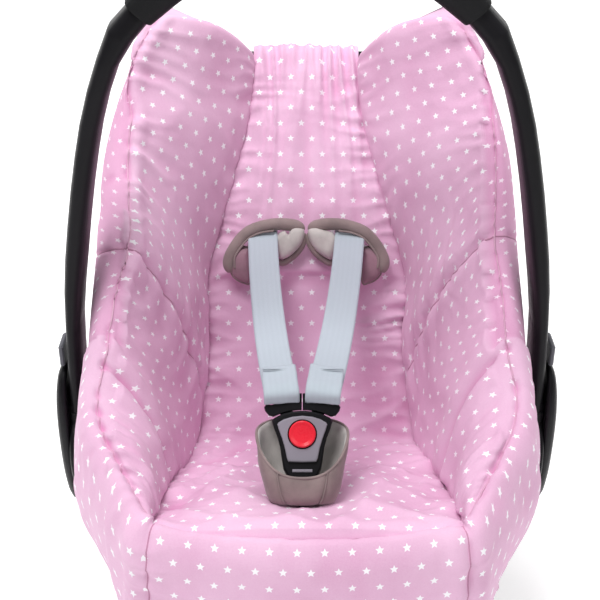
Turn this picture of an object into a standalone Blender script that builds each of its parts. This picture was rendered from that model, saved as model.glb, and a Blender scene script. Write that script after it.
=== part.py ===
"""Infant car seat: a padded bucket shell on rocker rails, with a swinging carry handle and a buckled harness.

Axes: X is across the seat, the foot end faces -Y, the head end +Y, and the floor is Z = 0.
Lengths are metres. The bucket is drawn in a fan of rays, seen from the side, round one pole above it.
"""

import math

import bpy
import numpy as np
from mathutils import Matrix, Vector

for old in list(bpy.data.objects):
    bpy.data.objects.remove(old, do_unlink=True)

HUB_Z = 0.155  # handle pivot above the floor
HUB_Y = -0.01855  # handle pivot from the middle of the length
HUB = Vector((0.0, HUB_Y, HUB_Z))
POLE_Y, POLE_Z = -0.100, 0.300  # the fan's pole, from the pivot
GAP = 0.0005

PAD = 0.0205  # foam and cover over the bucket floor
SHELL_IN = 0.0225
SHELL_OUT = 0.0265
RIM_DROP = 0.0135  # shell rim below the widest line of the bolster
WALL_INSET = 0.010  # shell wall inside that widest line

ARM_IN, ARM_OUT = 0.1920, 0.2045
CAP_OUT = 0.2155
HANDLE_TOP = 0.4700
GRIP_THICK = 0.033
WEBBING, WEBBING_THICK = 0.027, 0.0016

BUCKLE = Vector((-0.004, -0.105, 0.085))  # middle of the red button, from the pivot
BUCKLE_TILT = math.radians(38)
CUP_FOOT = -0.0525

# Angle in degrees against half width or ray length in mm.
CREASE_X = [(6, 47), (-4, 47), (-12, 51), (-22, 64), (-32, 79), (-42, 93), (-53, 92), (-64, 100), (-76, 112),
            (-92, 118), (-109, 114)]
RIDGE_X = [(6, 118), (1, 148), (-10, 157), (-25, 157), (-42, 154), (-57, 158), (-71, 161), (-84, 165), (-93, 154),
           (-101, 134), (-107, 120)]
RIDGE_R = [(6, 272), (1, 236), (-10, 202), (-25, 178), (-42, 170), (-57, 174), (-71, 189), (-84, 206), (-93, 216),
           (-101, 233), (-107, 254)]
WIDE_X = [(6, 140), (2, 150), (-6, 166), (-16, 177), (-30, 182), (-45, 183), (-70, 185), (-84, 184), (-95, 172),
          (-101, 154), (-107, 136)]
WIDE_R = [(6, 292), (2, 272), (-6, 246), (-16, 224), (-30, 208), (-45, 200), (-58, 203), (-70, 215), (-84, 228),
          (-93, 237), (-101, 247), (-107, 262)]
HEM_R = [(4, 335), (-20, 318), (-40, 312), (-60, 352), (-67, 378), (-80, 360), (-95, 348), (-103, 352)]


def material(name, colour, rough=0.6, metallic=0.0):
    made = bpy.data.materials.new(name)
    made.use_nodes = True
    shader = made.node_tree.nodes["Principled BSDF"]
    shader.inputs["Base Color"].default_value = (*colour, 1.0)
    shader.inputs["Roughness"].default_value = rough
    shader.inputs["Metallic"].default_value = metallic
    made.diffuse_color = (*colour, 1.0)
    return made


PINK = material("pink_star_fabric", (0.80, 0.50, 0.66), 0.9)
PLASTIC = material("black_plastic", (0.015, 0.015, 0.018), 0.4)
SHELL_PLASTIC = material("shell_plastic", (0.03, 0.03, 0.033), 0.55)
RUBBER = material("soft_grip_rubber", (0.012, 0.012, 0.014), 0.7)
GREY = material("grey_plastic", (0.40, 0.40, 0.44), 0.35)
RED = material("red_plastic", (0.60, 0.01, 0.02), 0.3)
WEB = material("webbing", (0.62, 0.68, 0.76), 0.9)
TAUPE = material("taupe_pad", (0.25, 0.20, 0.17), 0.8)
STEEL = material("steel", (0.6, 0.6, 0.6), 0.3, 1.0)


def solid(name, points, faces, made_of, origin=None):
    """A mesh object from points given from the pivot, with its origin moved to a point given the same way."""
    base = HUB + (Vector(origin) if origin is not None else Vector())
    mesh = bpy.data.meshes.new(name)
    mesh.from_pydata([tuple(HUB + Vector(p) - base) for p in points], [], faces)
    mesh.materials.append(made_of)
    obj = bpy.data.objects.new(name, mesh)
    obj.location = base
    bpy.context.collection.objects.link(obj)
    mesh.update()
    if volume(mesh) < 0:
        mesh.flip_normals()
    return obj


def volume(mesh):
    total = 0.0
    mesh.calc_loop_triangles()
    for tri in mesh.loop_triangles:
        a, b, c = (mesh.vertices[i].co for i in tri.vertices)
        total += a.dot(b.cross(c))
    return total


def loft(name, rings, made_of, origin=None, closed=False):
    """Joins equal rings of points into one skin, with end caps, or round into a ring when closed."""
    count, size = len(rings), len(rings[0])
    points = [p for ring in rings for p in ring]
    faces = []
    for i in range(count if closed else count - 1):
        a, b = i * size, ((i + 1) % count) * size
        for j in range(size):
            k = (j + 1) % size
            faces.append((a + j, a + k, b + k, b + j))
    if not closed:
        for start, turn in ((0, 1), ((count - 1) * size, -1)):
            for j in range((size - 1) // 2):
                face = [start + j, start + size - 1 - j, start + size - 2 - j, start + j + 1]
                for a, b, c in (face[:3], [face[0]] + face[2:]):
                    if len({a, b, c}) == 3:
                        faces.append((a, b, c)[::turn])
    return solid(name, points, faces, made_of, origin)


def curve(table, at):
    """A smooth value from a short table, in metres for a table in mm."""
    xs = np.array([row[0] for row in table], float)
    ys = np.array([row[1] for row in table], float) / 1000
    order = np.argsort(xs)
    xs, ys = xs[order], ys[order]
    slopes = np.gradient(ys, xs)
    at = min(max(at, xs[0]), xs[-1])
    i = min(int(np.searchsorted(xs, at, side="right")) - 1, len(xs) - 2)
    h = xs[i + 1] - xs[i]
    t = (at - xs[i]) / h
    a, b = 2 * t**3 - 3 * t**2 + 1, t**3 - 2 * t**2 + t
    c, d = -2 * t**3 + 3 * t**2, t**3 - t**2
    return a * ys[i] + b * h * slopes[i] + c * ys[i + 1] + d * h * slopes[i + 1]


def fan(x, angle, length):
    """A point on one ray of the fan, from the pivot."""
    a = math.radians(angle)
    return (x, POLE_Y + length * math.cos(a), POLE_Z + length * math.sin(a))


def floor_depth(angle):
    """Ray length to the middle of the padding: a straight back and a straight seat, rounded where they meet."""
    a = math.radians(angle)
    ray = np.array((math.cos(a), math.sin(a)))
    lengths = []
    for start, end in (((0.050, -0.050), (0.230, 0.278)), ((0.050, -0.050), (-0.185, 0.054))):
        normal = np.array((-(end[1] - start[1]), end[0] - start[0]))
        reach = np.dot(np.array(start) - (POLE_Y, POLE_Z), normal) / np.dot(ray, normal)
        lengths.append(reach if reach > 0 else 9.0)
    near, far = sorted(lengths)
    return near - 0.012 * math.exp(-(far - near) / 0.020)


def mirrored(points):
    return [(-x, y, z) for x, y, z in points]


def lathe(name, profile, made_of, centre, axis, around=24, origin=None):
    """Turns (radius, along) pairs round an axis. A closed outline that starts and ends on the axis is capped there."""
    rings = []
    turn = Vector((0, 0, 1)).rotation_difference(Vector(axis)).to_matrix()
    for i in range(around):
        a = 2 * math.pi * i / around
        rings.append([(r * math.cos(a), r * math.sin(a), z) for r, z in profile])
    on_axis = [j for j, (r, _) in enumerate(profile) if r == 0]
    points, index = [], {}
    for i in range(around):
        for j in range(len(profile)):
            key = (0, j) if j in on_axis else (i, j)
            if key not in index:
                index[key] = len(points)
                points.append(tuple(turn @ Vector(rings[i][j]) + Vector(centre)))
    faces = []
    last = len(profile) - 1 if on_axis else len(profile)
    for i in range(around):
        n = (i + 1) % around
        for j in range(last):
            k = (j + 1) % len(profile)
            ids = [index.get((i, j), index.get((0, j))), index.get((n, j), index.get((0, j))),
                   index.get((n, k), index.get((0, k))), index.get((i, k), index.get((0, k)))]
            face = [v for m, v in enumerate(ids) if v not in ids[:m]]
            if len(face) > 2:
                faces.append(tuple(face))
    return solid(name, points, faces, made_of, origin)


def rounded_box(name, size, made_of, frame, chamfer=0.001, origin=None):
    """A box with chamfered long edges, placed by a 4x4 frame whose Z is the box's length."""
    w, d, h = (s / 2 for s in size)
    c = min(chamfer, w * 0.8, d * 0.8)
    ring = [(w - c, -d), (w, -d + c), (w, d - c), (w - c, d), (-w + c, d), (-w, d - c), (-w, -d + c), (-w + c, -d)]
    rings = []
    for z, shrink in ((-h, c), (-h + c, 0), (h - c, 0), (h, c)):
        ws, ds = (w - shrink) / w, (d - shrink) / d
        rings.append([tuple(frame @ Vector((x * ws, y * ds, z))) for x, y in ring])
    return loft(name, rings, made_of, origin)


def cut(obj, cutter):
    """Subtracts a helper that isn't rendered."""
    cutter.hide_render = True
    cutter.display_type = "WIRE"
    cutter.hide_set(True)
    step = obj.modifiers.new("cut", "BOOLEAN")
    step.operation = "DIFFERENCE"
    step.solver = "EXACT"
    step.object = cutter


def place(at, tilt=0.0):
    return Matrix.Translation(Vector(at)) @ Matrix.Rotation(tilt, 4, "X")


def taper(angle):
    """How far the walls lean in, below the rim, towards the foot end."""
    grow = min(1.0, max(0.0, (-75.0 - angle) / 20.0))
    fade = min(1.0, max(0.0, (-94.0 - angle) / 12.0))
    return 0.013 * grow * grow * (3 - 2 * grow) * (1 - 0.78 * fade * fade * (3 - 2 * fade))


def shell():
    """The bucket: a trough along the fan, with a rounded corner between floor and wall."""
    rings = []
    for i in range(23):
        share = i / 22
        angle = -4 + share * (-107 + 4)
        lift = 7.0 * (1 - min(share / 0.18, 1.0)) ** 1.5
        up = angle + lift
        rim = curve(WIDE_R, up) + RIM_DROP
        ring = []
        for depth, wall in ((SHELL_OUT, WALL_INSET), (SHELL_IN, WALL_INSET + 0.004)):
            side = curve(WIDE_X, angle) - wall - taper(angle)
            base = floor_depth(angle) + depth
            corner = min(0.028, max(0.004, (base - rim) * 0.6))
            half = [(side - corner, base, angle), (side - 0.3 * corner, base - 0.3 * corner, angle),
                    (side, base - corner, angle), (curve(WIDE_X, up) - wall, rim, up)]
            half = [fan(x, a, r) for x, r, a in half]
            run = list(reversed(mirrored(half))) + half
            ring += run if depth == SHELL_OUT else list(reversed(run))
        rings.append(ring)
    return loft("shell", rings, SHELL_PLASTIC)


def slab(name, start, end, steps, swell=0.006, half_width=None):
    """The flat middle of the padding between two fan angles, a little crowned across."""
    rings = []
    for i in range(steps + 1):
        angle = start + (end - start) * i / steps
        half = (half_width or curve(CREASE_X, angle)) - 0.0004
        depth = floor_depth(angle)
        ease = min(1.0, 6 * i / steps, 6 * (1 - i / steps))
        front = [fan(half * s, angle, depth - swell * ease * (1 - s * s)) for s in (-1, -0.8, -0.4, 0, 0.4, 0.8, 1)]
        back = [fan(half * s, angle, depth + PAD) for s in (1, 0, -1)]
        rings.append(front + back)
    return loft(name, rings, PINK)


def bolster(name, side, crease, ridge, steps):
    """Side padding from the crease up over the shell's rim. Each angle pair is at its start and its end."""
    rings = []
    for i in range(steps + 1):
        s = i / steps
        low = crease[0] + (crease[1] - crease[0]) * s
        high = ridge[0] + (ridge[1] - ridge[0]) * s
        k = (curve(CREASE_X, low) + 0.0004, floor_depth(low))
        r = (curve(RIDGE_X, high), curve(RIDGE_R, high))
        w = (curve(WIDE_X, high), curve(WIDE_R, high))
        wall = curve(WIDE_X, low) - WALL_INSET - 0.004 - 0.0015 - taper(low)
        corner = min(0.030, max(0.005, (floor_depth(low) + PAD - w[1] - RIM_DROP) * 0.62))
        crest = 4.5 * max(0.0, 1 - (low + 4) / -9.0) ** 1.5
        ring = []
        for t, peak in ((0.0, 0.0), (0.25, 0.55), (0.5, 1.0), (0.75, 1.0), (1.0, 0.9)):
            bow = -0.006 * math.sin(math.pi * t)
            angle = low + (high - low) * t + crest * peak
            ring.append(fan(k[0] + (r[0] - k[0]) * t + bow, angle, k[1] + (r[1] - k[1]) * t + bow))
        ring.append(fan(r[0] + (w[0] - r[0]) * 0.55, high + 0.7 * crest, r[1] + (w[1] - r[1]) * 0.12))
        ring.append(fan(w[0], high + 0.3 * crest, w[1]))
        ring.append(fan(w[0], high, w[1] + 0.010))
        ring.append(fan(w[0] - 0.002, high, w[1] + 0.012))
        ring.append(fan(curve(WIDE_X, high) - WALL_INSET - 0.0055, high, w[1] + 0.0125))
        ring.append(fan(wall, low, k[1] + PAD - corner - 0.0025))
        ring.append(fan(wall - corner, low, k[1] + PAD - 0.0025))
        ring.append(fan(k[0], low, k[1] + PAD - 0.0025))
        rings.append(ring if side > 0 else mirrored(ring))
    return loft(name, rings, PINK)


def skirt(name, side):
    """The cover's outer side panel, from under the bolster down to its hem, with a hole round the hub."""
    rings = []
    for i in range(17):
        angle = 4 + (-97 - 4) * i / 16
        top = curve(WIDE_R, angle) + RIM_DROP
        hem = curve(HEM_R, angle)
        wide = curve(WIDE_X, angle)
        lean = taper(angle)
        inner = [wide - WALL_INSET + 0.0015 - lean * f for f in (0.0, 0.8, 1.5)]
        outer = [wide - 0.004, wide - 0.0035 - lean * 0.8, wide - 0.006 - lean * 1.5]
        steps = (0.0, 0.45, 1.0)
        ring = [fan(x, angle, top + (hem - top) * t) for x, t in zip(outer, steps)]
        ring += [fan(x, angle, top + (hem - top) * t) for x, t in zip(reversed(inner), reversed(steps))]
        rings.append(ring if side > 0 else mirrored(ring))
    made = loft(name, rings, PINK)
    hole = lathe(name + "_hole", [(0, -0.02), (0.0345, -0.02), (0.0345, 0.02), (0, 0.02)], PINK,
                 (side * 0.180, 0, 0), (1, 0, 0), 24)
    cut(made, hole)
    return made


def front_skirt():
    """The rolled front edge of the seat and the panel that hangs from it, wrapping round both corners."""
    section = [(0.014, 0.006), (0.006, 0.008), (0.0, 0.002), (-0.003, -0.010), (-0.003, -0.055), (0.0, -0.100),
               (0.0035, -0.100), (0.001, -0.055), (0.001, -0.012), (0.004, -0.001), (0.014, 0.001)]
    rings = []
    for i in range(21):
        a = math.radians(-88 + 176 * i / 20)
        x = 0.1520 * math.copysign(abs(math.sin(a)) ** 0.50, a)
        y = -0.152 - 0.056 * abs(math.cos(a)) ** 0.50
        z = 0.046 + 0.006 * abs(math.sin(a)) ** 3
        inward = Vector((-math.sin(a) * 0.8, math.cos(a), 0)).normalized()
        shy = 1 - 0.5 * abs(math.sin(a)) ** 3
        ring = []
        for in_, up in section:
            lean = 1 - 0.10 * min(1.0, max(0.0, -up / 0.100))
            ring.append(tuple(Vector((x * lean, y, z + up)) + inward * in_ * shy))
        rings.append(ring)
    return loft("cover_front_skirt", rings, PINK)


def head_hem():
    """The band of cover turned over the top of the backrest."""
    section = [(0.001, 0.002), (0.012, 0.0060), (0.0245, 0.0055), (0.0320, -0.004), (0.0080, -0.052),
               (0.0050, -0.0515), (0.0288, -0.0050), (0.0236, 0.0020), (0.012, 0.0025), (0.001, 0.0008)]
    rings = []
    for i in range(7):
        x = -0.045 + 0.015 * i
        rings.append([(x, 0.230 + y, 0.278 + z) for y, z in section])
    return loft("cover_head_hem", rings, PINK)


def rocker(y):
    """Height of the rails' underside: flat in the middle and turned up at both ends."""
    away = max(0.0, abs(y - 0.010) - 0.085)
    return -HUB_Z + 1.6 * away * away


def rail(name, side):
    rings = []
    for i in range(19):
        angle = -108 + (-44 + 108) * i / 18
        _, y, z = fan(0, angle, floor_depth(angle) + SHELL_OUT + 0.0015)
        below = y * (1.40 if y > 0 else 1.0)
        ring = [(0.082, y, z), (0.092, y, z), (0.094, below, rocker(below) + 0.006), (0.091, below, rocker(below)),
                (0.083, below, rocker(below)), (0.080, below, rocker(below) + 0.006)]
        rings.append(ring if side > 0 else mirrored(ring))
    return loft(name, rings, SHELL_PLASTIC)


def beam(name, y, z, height, depth):
    frame = Matrix.Translation((0, y, z)) @ Matrix.Rotation(math.pi / 2, 4, "Y")
    return rounded_box(name, (height, depth, 0.1590), SHELL_PLASTIC, frame, 0.002)


def foot(name, side, y):
    z = rocker(y) + 0.0100
    frame = place((side * 0.0972, y, z))
    return rounded_box(name, (0.0058, 0.030, 0.018), RUBBER, frame, 0.001)


def hub_axle(name, side):
    """The boss fixed to the shell wall, with the stub that carries the handle."""
    profile = [(0, 0.1756), (0.020, 0.1756), (0.020, 0.1905), (0.019, 0.1915), (0.0062, 0.1915), (0.0062, 0.2030),
               (0.0056, 0.2038), (0, 0.2038)]
    return lathe(name, profile, PLASTIC, (0, 0, 0), (side, 0, 0), 24)


def ratchet(name, side):
    """The toothed ring that holds the handle at its positions."""
    teeth = 24
    outer, inner = [], []
    for i in range(teeth * 2):
        a = 2 * math.pi * i / (teeth * 2)
        r = 0.032 if i % 2 else 0.0285
        outer.append((r * math.cos(a), r * math.sin(a)))
        inner.append((0.0205 * math.cos(a), 0.0205 * math.sin(a)))
    rings = []
    for (oy, oz), (iy, iz) in zip(outer, inner):
        rings.append([(side * 0.1822, oy, oz), (side * 0.1912, oy, oz), (side * 0.1912, iy, iz),
                      (side * 0.1822, iy, iz)])
    return loft(name, rings, STEEL, closed=True)


def handle_path():
    """Middle line of one arm from the hub up to the crown, as (x, z), and the way across it."""
    outer = [(0, 204.5), (60, 203.5), (120, 201), (170, 197.5), (220, 190), (270, 180.5), (310, 171), (345, 159.5),
             (378, 145.5)]
    points = [(curve(outer, float(z)) , z / 1000) for z in (45, 70, 100, 130, 160, 190, 220, 250, 280, 305, 330, 355,
                                                             378)]
    start_x, start_z = points[-1]
    for i in range(1, 10):
        a = math.radians(50 + (90 - 50) * i / 9)
        share = (math.sin(a) - math.sin(math.radians(50))) / (1 - math.sin(math.radians(50)))
        points.append((start_x * (math.cos(a) / math.cos(math.radians(50))),
                       start_z + (HANDLE_TOP - start_z) * share))
    return points


def handle_section(z):
    """Thickness and depth of the bow at a height: thin, deep arms and a fuller crown."""
    blend = min(1.0, max(0.0, (z - 0.345) / 0.095))
    blend = blend * blend * (3 - 2 * blend)
    fuller = min(1.0, max(0.0, (z - 0.125) / 0.060))
    arm = 0.0128 + 0.0037 * fuller * fuller * (3 - 2 * fuller)
    return arm + (GRIP_THICK - arm) * blend, 0.044 - 0.008 * blend


def handle():
    """One bow from hub disc to hub disc: flat arms that thicken into the crown."""
    half = handle_path()
    line = [(x, z) for x, z in half] + [(-x, z) for x, z in reversed(half[:-1])]
    rings = []
    for i, (x, z) in enumerate(line):
        before, after = line[max(i - 1, 0)], line[min(i + 1, len(line) - 1)]
        along = Vector((after[0] - before[0], 0, after[1] - before[1])).normalized()
        across = Vector((-along.z, 0, along.x))
        thick, deep = handle_section(z)
        slim = 0.0030 if abs(x) < 0.138 else 0.0
        middle = Vector((x, 0, z)) + across * (thick / 2)
        if across.x * x > 0 or (abs(x) < 0.01 and across.z > 0):
            middle = Vector((x, 0, z)) - across * (thick / 2)
        ring = []
        for j in range(20):
            a = 2 * math.pi * (j + 0.5) / 20
            u = math.copysign(abs(math.cos(a)) ** 0.65, math.cos(a)) * (thick / 2 - slim)
            v = math.copysign(abs(math.sin(a)) ** 0.65, math.sin(a)) * (deep / 2 - slim)
            ring.append(tuple(middle + across * u + Vector((0, 1, 0)) * v))
        rings.append(ring)
    bow = loft("handle", rings, PLASTIC, origin=(0, 0, 0))
    for side in (1, -1):
        disc = lathe("handle_disc", [(0, ARM_IN), (0.0365, ARM_IN), (0.0380, ARM_IN + 0.0015),
                                     (0.0380, ARM_OUT - 0.0015), (0.0365, ARM_OUT), (0, ARM_OUT)],
                     PLASTIC, (0, 0, 0), (side, 0, 0), 32)
        disc.hide_render = True
        disc.display_type = "WIRE"
        disc.hide_set(True)
        root = rounded_box("handle_root", (0.0125, 0.0380, 0.056), PLASTIC,
                           place((side * (ARM_IN + ARM_OUT) / 2, 0, 0.024)), 0.0015)
        root.hide_render = True
        root.display_type = "WIRE"
        root.hide_set(True)
        for helper in (disc, root):
            step = bow.modifiers.new("join", "BOOLEAN")
            step.operation = "UNION"
            step.solver = "EXACT"
            step.object = helper
        bore = lathe("handle_bore", [(0, 0.18), (0.0066, 0.18), (0.0066, 0.22), (0, 0.22)], PLASTIC, (0, 0, 0),
                     (side, 0, 0), 24)
        cut(bow, bore)
    return bow


def grip():
    """The soft sleeve round the crown of the handle."""
    half = [p for p in handle_path() if p[0] < 0.134]
    line = [(x, z) for x, z in half] + [(-x, z) for x, z in reversed(half[:-1])]
    rings = []
    for i, (x, z) in enumerate(line):
        before, after = line[max(i - 1, 0)], line[min(i + 1, len(line) - 1)]
        along = Vector((after[0] - before[0], 0, after[1] - before[1])).normalized()
        across = Vector((-along.z, 0, along.x))
        if across.z < 0:
            across = -across
        thick, deep = handle_section(z)
        middle = Vector((x, 0, z)) - across * (thick / 2)
        outer, inner = [], []
        for j in range(20):
            a = 2 * math.pi * (j + 0.5) / 20
            for made, slim in ((outer, 0.0), (inner, 0.0026)):
                u = math.copysign(abs(math.cos(a)) ** 0.65, math.cos(a)) * (thick / 2 - slim)
                v = math.copysign(abs(math.sin(a)) ** 0.65, math.sin(a)) * (deep / 2 - slim)
                made.append(tuple(middle + across * u + Vector((0, 1, 0)) * v))
        rings.append((outer, inner))
    size = 20
    points = [p for outer, inner in rings for p in outer + inner]
    faces = []
    for i in range(len(rings) - 1):
        a, b = i * 2 * size, (i + 1) * 2 * size
        for j in range(size):
            k = (j + 1) % size
            faces.append((a + j, a + k, b + k, b + j))
            faces.append((a + size + k, a + size + j, b + size + j, b + size + k))
    for a, turn in ((0, True), ((len(rings) - 1) * 2 * size, False)):
        for j in range(size):
            k = (j + 1) % size
            face = (a + j, a + size + j, a + size + k, a + k)
            faces.append(face if turn else tuple(reversed(face)))
    return solid("handle_grip", points, faces, RUBBER)


def hub_cap(name, side):
    """The long outer cover of the hub, wider at the top than at the foot."""
    outline = []
    for i in range(40):
        a = 2 * math.pi * i / 40
        y = 0.029 * math.copysign(abs(math.sin(a)) ** 0.85, math.sin(a))
        z = 0.074 * math.copysign(abs(math.cos(a)) ** 0.85, math.cos(a))
        outline.append((y * (1 + 0.10 * z / 0.074), z))
    rings = []
    for x, scale in ((ARM_OUT + 0.0003, 0.955), (ARM_OUT + 0.0015, 0.985), (ARM_OUT + 0.004, 1.0),
                     (CAP_OUT - 0.0075, 0.985), (CAP_OUT - 0.0045, 0.95), (CAP_OUT - 0.0022, 0.88),
                     (CAP_OUT - 0.0007, 0.77), (CAP_OUT, 0.60)):
        rings.append([(side * x, y * scale, z * scale + 0.010) for y, z in outline])
    return loft(name, rings, PLASTIC)


def release(name, side):
    """The grey slider above the hub cap that frees the handle."""
    centre = (side * (ARM_OUT + 0.0024), 0, 0.0965)
    return rounded_box(name, (0.0042, 0.024, 0.0200), GREY, place(centre), 0.0012, origin=centre)


def screw(name, side):
    made = lathe(name, [(0, 0), (0.0048, 0), (0.0048, 0.0009), (0.0030, 0.0018), (0, 0.0018)], STEEL,
                 (side * (CAP_OUT + 0.0003), 0, 0), (side, 0, 0), 16)
    return made


def buckle_frame(right=0.0, up=0.0, out=0.0):
    """A frame on the buckle: X right, Y out of its face, Z up it."""
    tilt = Matrix.Rotation(-BUCKLE_TILT, 4, "X")
    flip = Matrix(((1, 0, 0, 0), (0, -1, 0, 0), (0, 0, 1, 0), (0, 0, 0, 1)))
    return Matrix.Translation(BUCKLE) @ tilt @ flip @ Matrix.Translation((right, out, up))


HOUSING_EDGE = [(0, 18.6), (8, 18.0), (15, 16.3), (21.5, 13.2), (24.0, 10.6), (22.4, 5.0), (19.6, -2.0), (17.4, -10.0),
                (16.0, -20.0), (14.8, -27.0), (12.0, -33.0), (9.0, -35.4), (0, -36.0)]
PLATE_EDGE = [(0, 14.4), (8, 13.6), (14.5, 11.6), (18.6, 9.2), (19.6, 7.6), (18.4, 3.6), (15.8, -3.5), (13.6, -11.0),
              (12.0, -19.0), (10.8, -21.4), (0, -21.8)]


def outline(edge, z, inset=0.0):
    """A closed outline from its right half, in millimetres, at a height out of the buckle's face."""
    half = [(x / 1000 * (1 - inset * 40), y / 1000 * (1 - inset * 40)) for x, y in edge]
    left = [(-x, y) for x, y in reversed(half[1:-1])]
    return [(x, y, z) for x, y in half + left]


def on_buckle(points):
    frame = buckle_frame()
    return [tuple(frame @ Vector((x, z, y))) for x, y, z in points]


def buckle():
    """Housing, face plate, push button and its spring. Out is measured from the button's rest face."""
    body = loft("buckle_housing", [on_buckle(outline(HOUSING_EDGE, z, inset)) for z, inset in (
        (-0.0230, 0.0022), (-0.0205, 0.0), (-0.0080, 0.0), (-0.0062, 0.0008), (-0.0055, 0.0020))], PLASTIC)
    well = lathe("button_well", [(0, -0.017), (0.0112, -0.017), (0.0112, 0.01), (0, 0.01)], PLASTIC, BUCKLE,
                 buckle_frame().to_3x3() @ Vector((0, 1, 0)), 32)
    cut(body, well)
    for side in (-1, 1):
        slot = rounded_box("tongue_slot", (0.0130, 0.0032, 0.030), PLASTIC, buckle_frame(side * 0.0125, 0.0120, -0.0195),
                           0.0004)
        cut(body, slot)
    face = loft("buckle_plate", [on_buckle(outline(PLATE_EDGE, z, inset)) for z, inset in (
        (-0.0052, 0.0), (-0.0036, 0.0), (-0.0027, 0.0008), (-0.0025, 0.0020))], GREY)
    ring = lathe("plate_hole", [(0, -0.017), (0.0116, -0.017), (0.0116, 0.01), (0, 0.01)], GREY, BUCKLE,
                 buckle_frame().to_3x3() @ Vector((0, 1, 0)), 32)
    cut(face, ring)
    out = buckle_frame().to_3x3() @ Vector((0, 1, 0))
    lathe("buckle_button", [(0, -0.0100), (0.0106, -0.0100), (0.0106, -0.0012), (0.0102, -0.0004), (0.0095, 0.0),
                            (0.0070, -0.0007), (0, -0.0012)], RED, BUCKLE, out, 32, origin=BUCKLE)
    spring(out)


def spring(out):
    """The coil under the button, in its well."""
    rings = []
    turn = Vector((0, 0, 1)).rotation_difference(out).to_matrix()
    for i in range(57):
        a = 2 * math.pi * i / 16
        centre = Vector((0.0075 * math.cos(a), 0.0075 * math.sin(a), -0.0160 + 0.0052 * i / 56))
        radial = Vector((math.cos(a), math.sin(a), 0))
        ring = [centre + radial * 0.0005 * math.cos(b) + Vector((0, 0, 0.0005 * math.sin(b)))
                for b in (0.5, 2.07, 3.64, 5.21)]
        rings.append([tuple(turn @ p + BUCKLE) for p in ring])
    return loft("buckle_spring", rings, STEEL)


TONGUE_EDGE = [(0.4, 19.4), (2.8, 19.4), (3.8, 19.3), (4.4, 19.3), (9.5, 18.7), (17.0, 16.7), (23.0, 14.2), (26.6, 15.0),
               (29.4, 18.4), (30.2, 21.6), (28.4, 23.6), (24.5, 23.3), (17.0, 25.0), (9.5, 26.2), (4.4, 26.8),
               (3.8, 31.0), (2.8, 32.4), (0.4, 32.4)]


def tongue(name, side):
    """A steel blade in the buckle's slot, with the curved plastic head that the webbing loops through."""
    blade = rounded_box(name, (0.0100, 0.0016, 0.0270), STEEL, buckle_frame(side * 0.0125, 0.0128, -0.0195), 0.0004,
                        origin=BUCKLE)
    rings = []
    for z, inset in ((-0.0235, 0.06), (-0.0222, 0.0), (-0.0105, 0.0), (-0.0090, 0.06)):
        ring = []
        for x, y in TONGUE_EDGE:
            x, y = x + (15.0 - x) * inset, y + (21.0 - y) * inset
            ring.append(tuple(buckle_frame(side * x / 1000, y / 1000, z).translation))
        rings.append(ring)
    head = loft(name + "_head", rings, PLASTIC, origin=BUCKLE)
    head.hide_render = True
    head.display_type = "WIRE"
    head.hide_set(True)
    step = blade.modifiers.new("head", "BOOLEAN")
    step.operation = "UNION"
    step.solver = "EXACT"
    step.object = head
    blade.data.materials[0] = PLASTIC
    return blade


def ribbon(name, centres, width, thick, made_of, sideways=None):
    """A flat strap through points, each with the way out of its face."""
    rings = []
    for i, (point, out) in enumerate(centres):
        p, n = Vector(point), Vector(out).normalized()
        before = Vector(centres[max(i - 1, 0)][0])
        after = Vector(centres[min(i + 1, len(centres) - 1)][0])
        side = (after - before).normalized().cross(n).normalized()
        w, t = side * (width / 2), n * (thick / 2)
        rings.append([tuple(p - w - t), tuple(p + w - t), tuple(p + w + t), tuple(p - w + t)])
    return loft(name, rings, made_of)


def shoulder_strap(name, side):
    """Webbing from the slot in the backrest, over the bucket, to the tongue."""
    top = Vector((side * 0.043, 0.1480, 0.1450))
    end = buckle_frame(side * 0.0172, 0.0290, -0.0140).translation
    points = []
    for i in range(9):
        t = i / 8
        p = top.lerp(end, t)
        sag = 4 * t * (1 - t)
        points.append((p + Vector((side * 0.004 * sag, 0.006 * sag, -0.012 * sag)), (0, -0.70, 0.71)))
    return ribbon(name, points, WEBBING, WEBBING_THICK, WEB)


def shoulder_pad(name, side):
    """A soft hood over the strap where it leaves the backrest."""
    rings = []
    for i in range(9):
        t = i / 8
        lift = math.sin(math.pi * t)
        centre = Vector((side * (0.014 + 0.066 * t), 0.1400 - 0.018 * t - 0.012 * lift, 0.1388 - 0.034 * t + 0.030 * lift))
        wide = 0.012 + 0.014 * lift
        down = Vector((0, -0.47, -0.883))
        out = Vector((0, -0.883, 0.47))
        rings.append([tuple(centre + down * wide * u + out * (0.0070 + 0.006 * v)) for u, v in (
            (-1, 0), (-0.5, 1), (0.5, 1), (1, 0), (0.5, -0.6), (-0.5, -0.6))])
    return loft(name, rings, TAUPE)


def crotch_strap():
    points = []
    frames = [(-0.0368, -0.0140), (-0.0400, -0.0140), (-0.0430, -0.0140)]
    for up, out in frames:
        at = buckle_frame(0, up, out).translation
        points.append((at, (0, -0.79, 0.61)))
    return ribbon("crotch_strap", points, 0.025, 0.0016, WEB)


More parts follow.
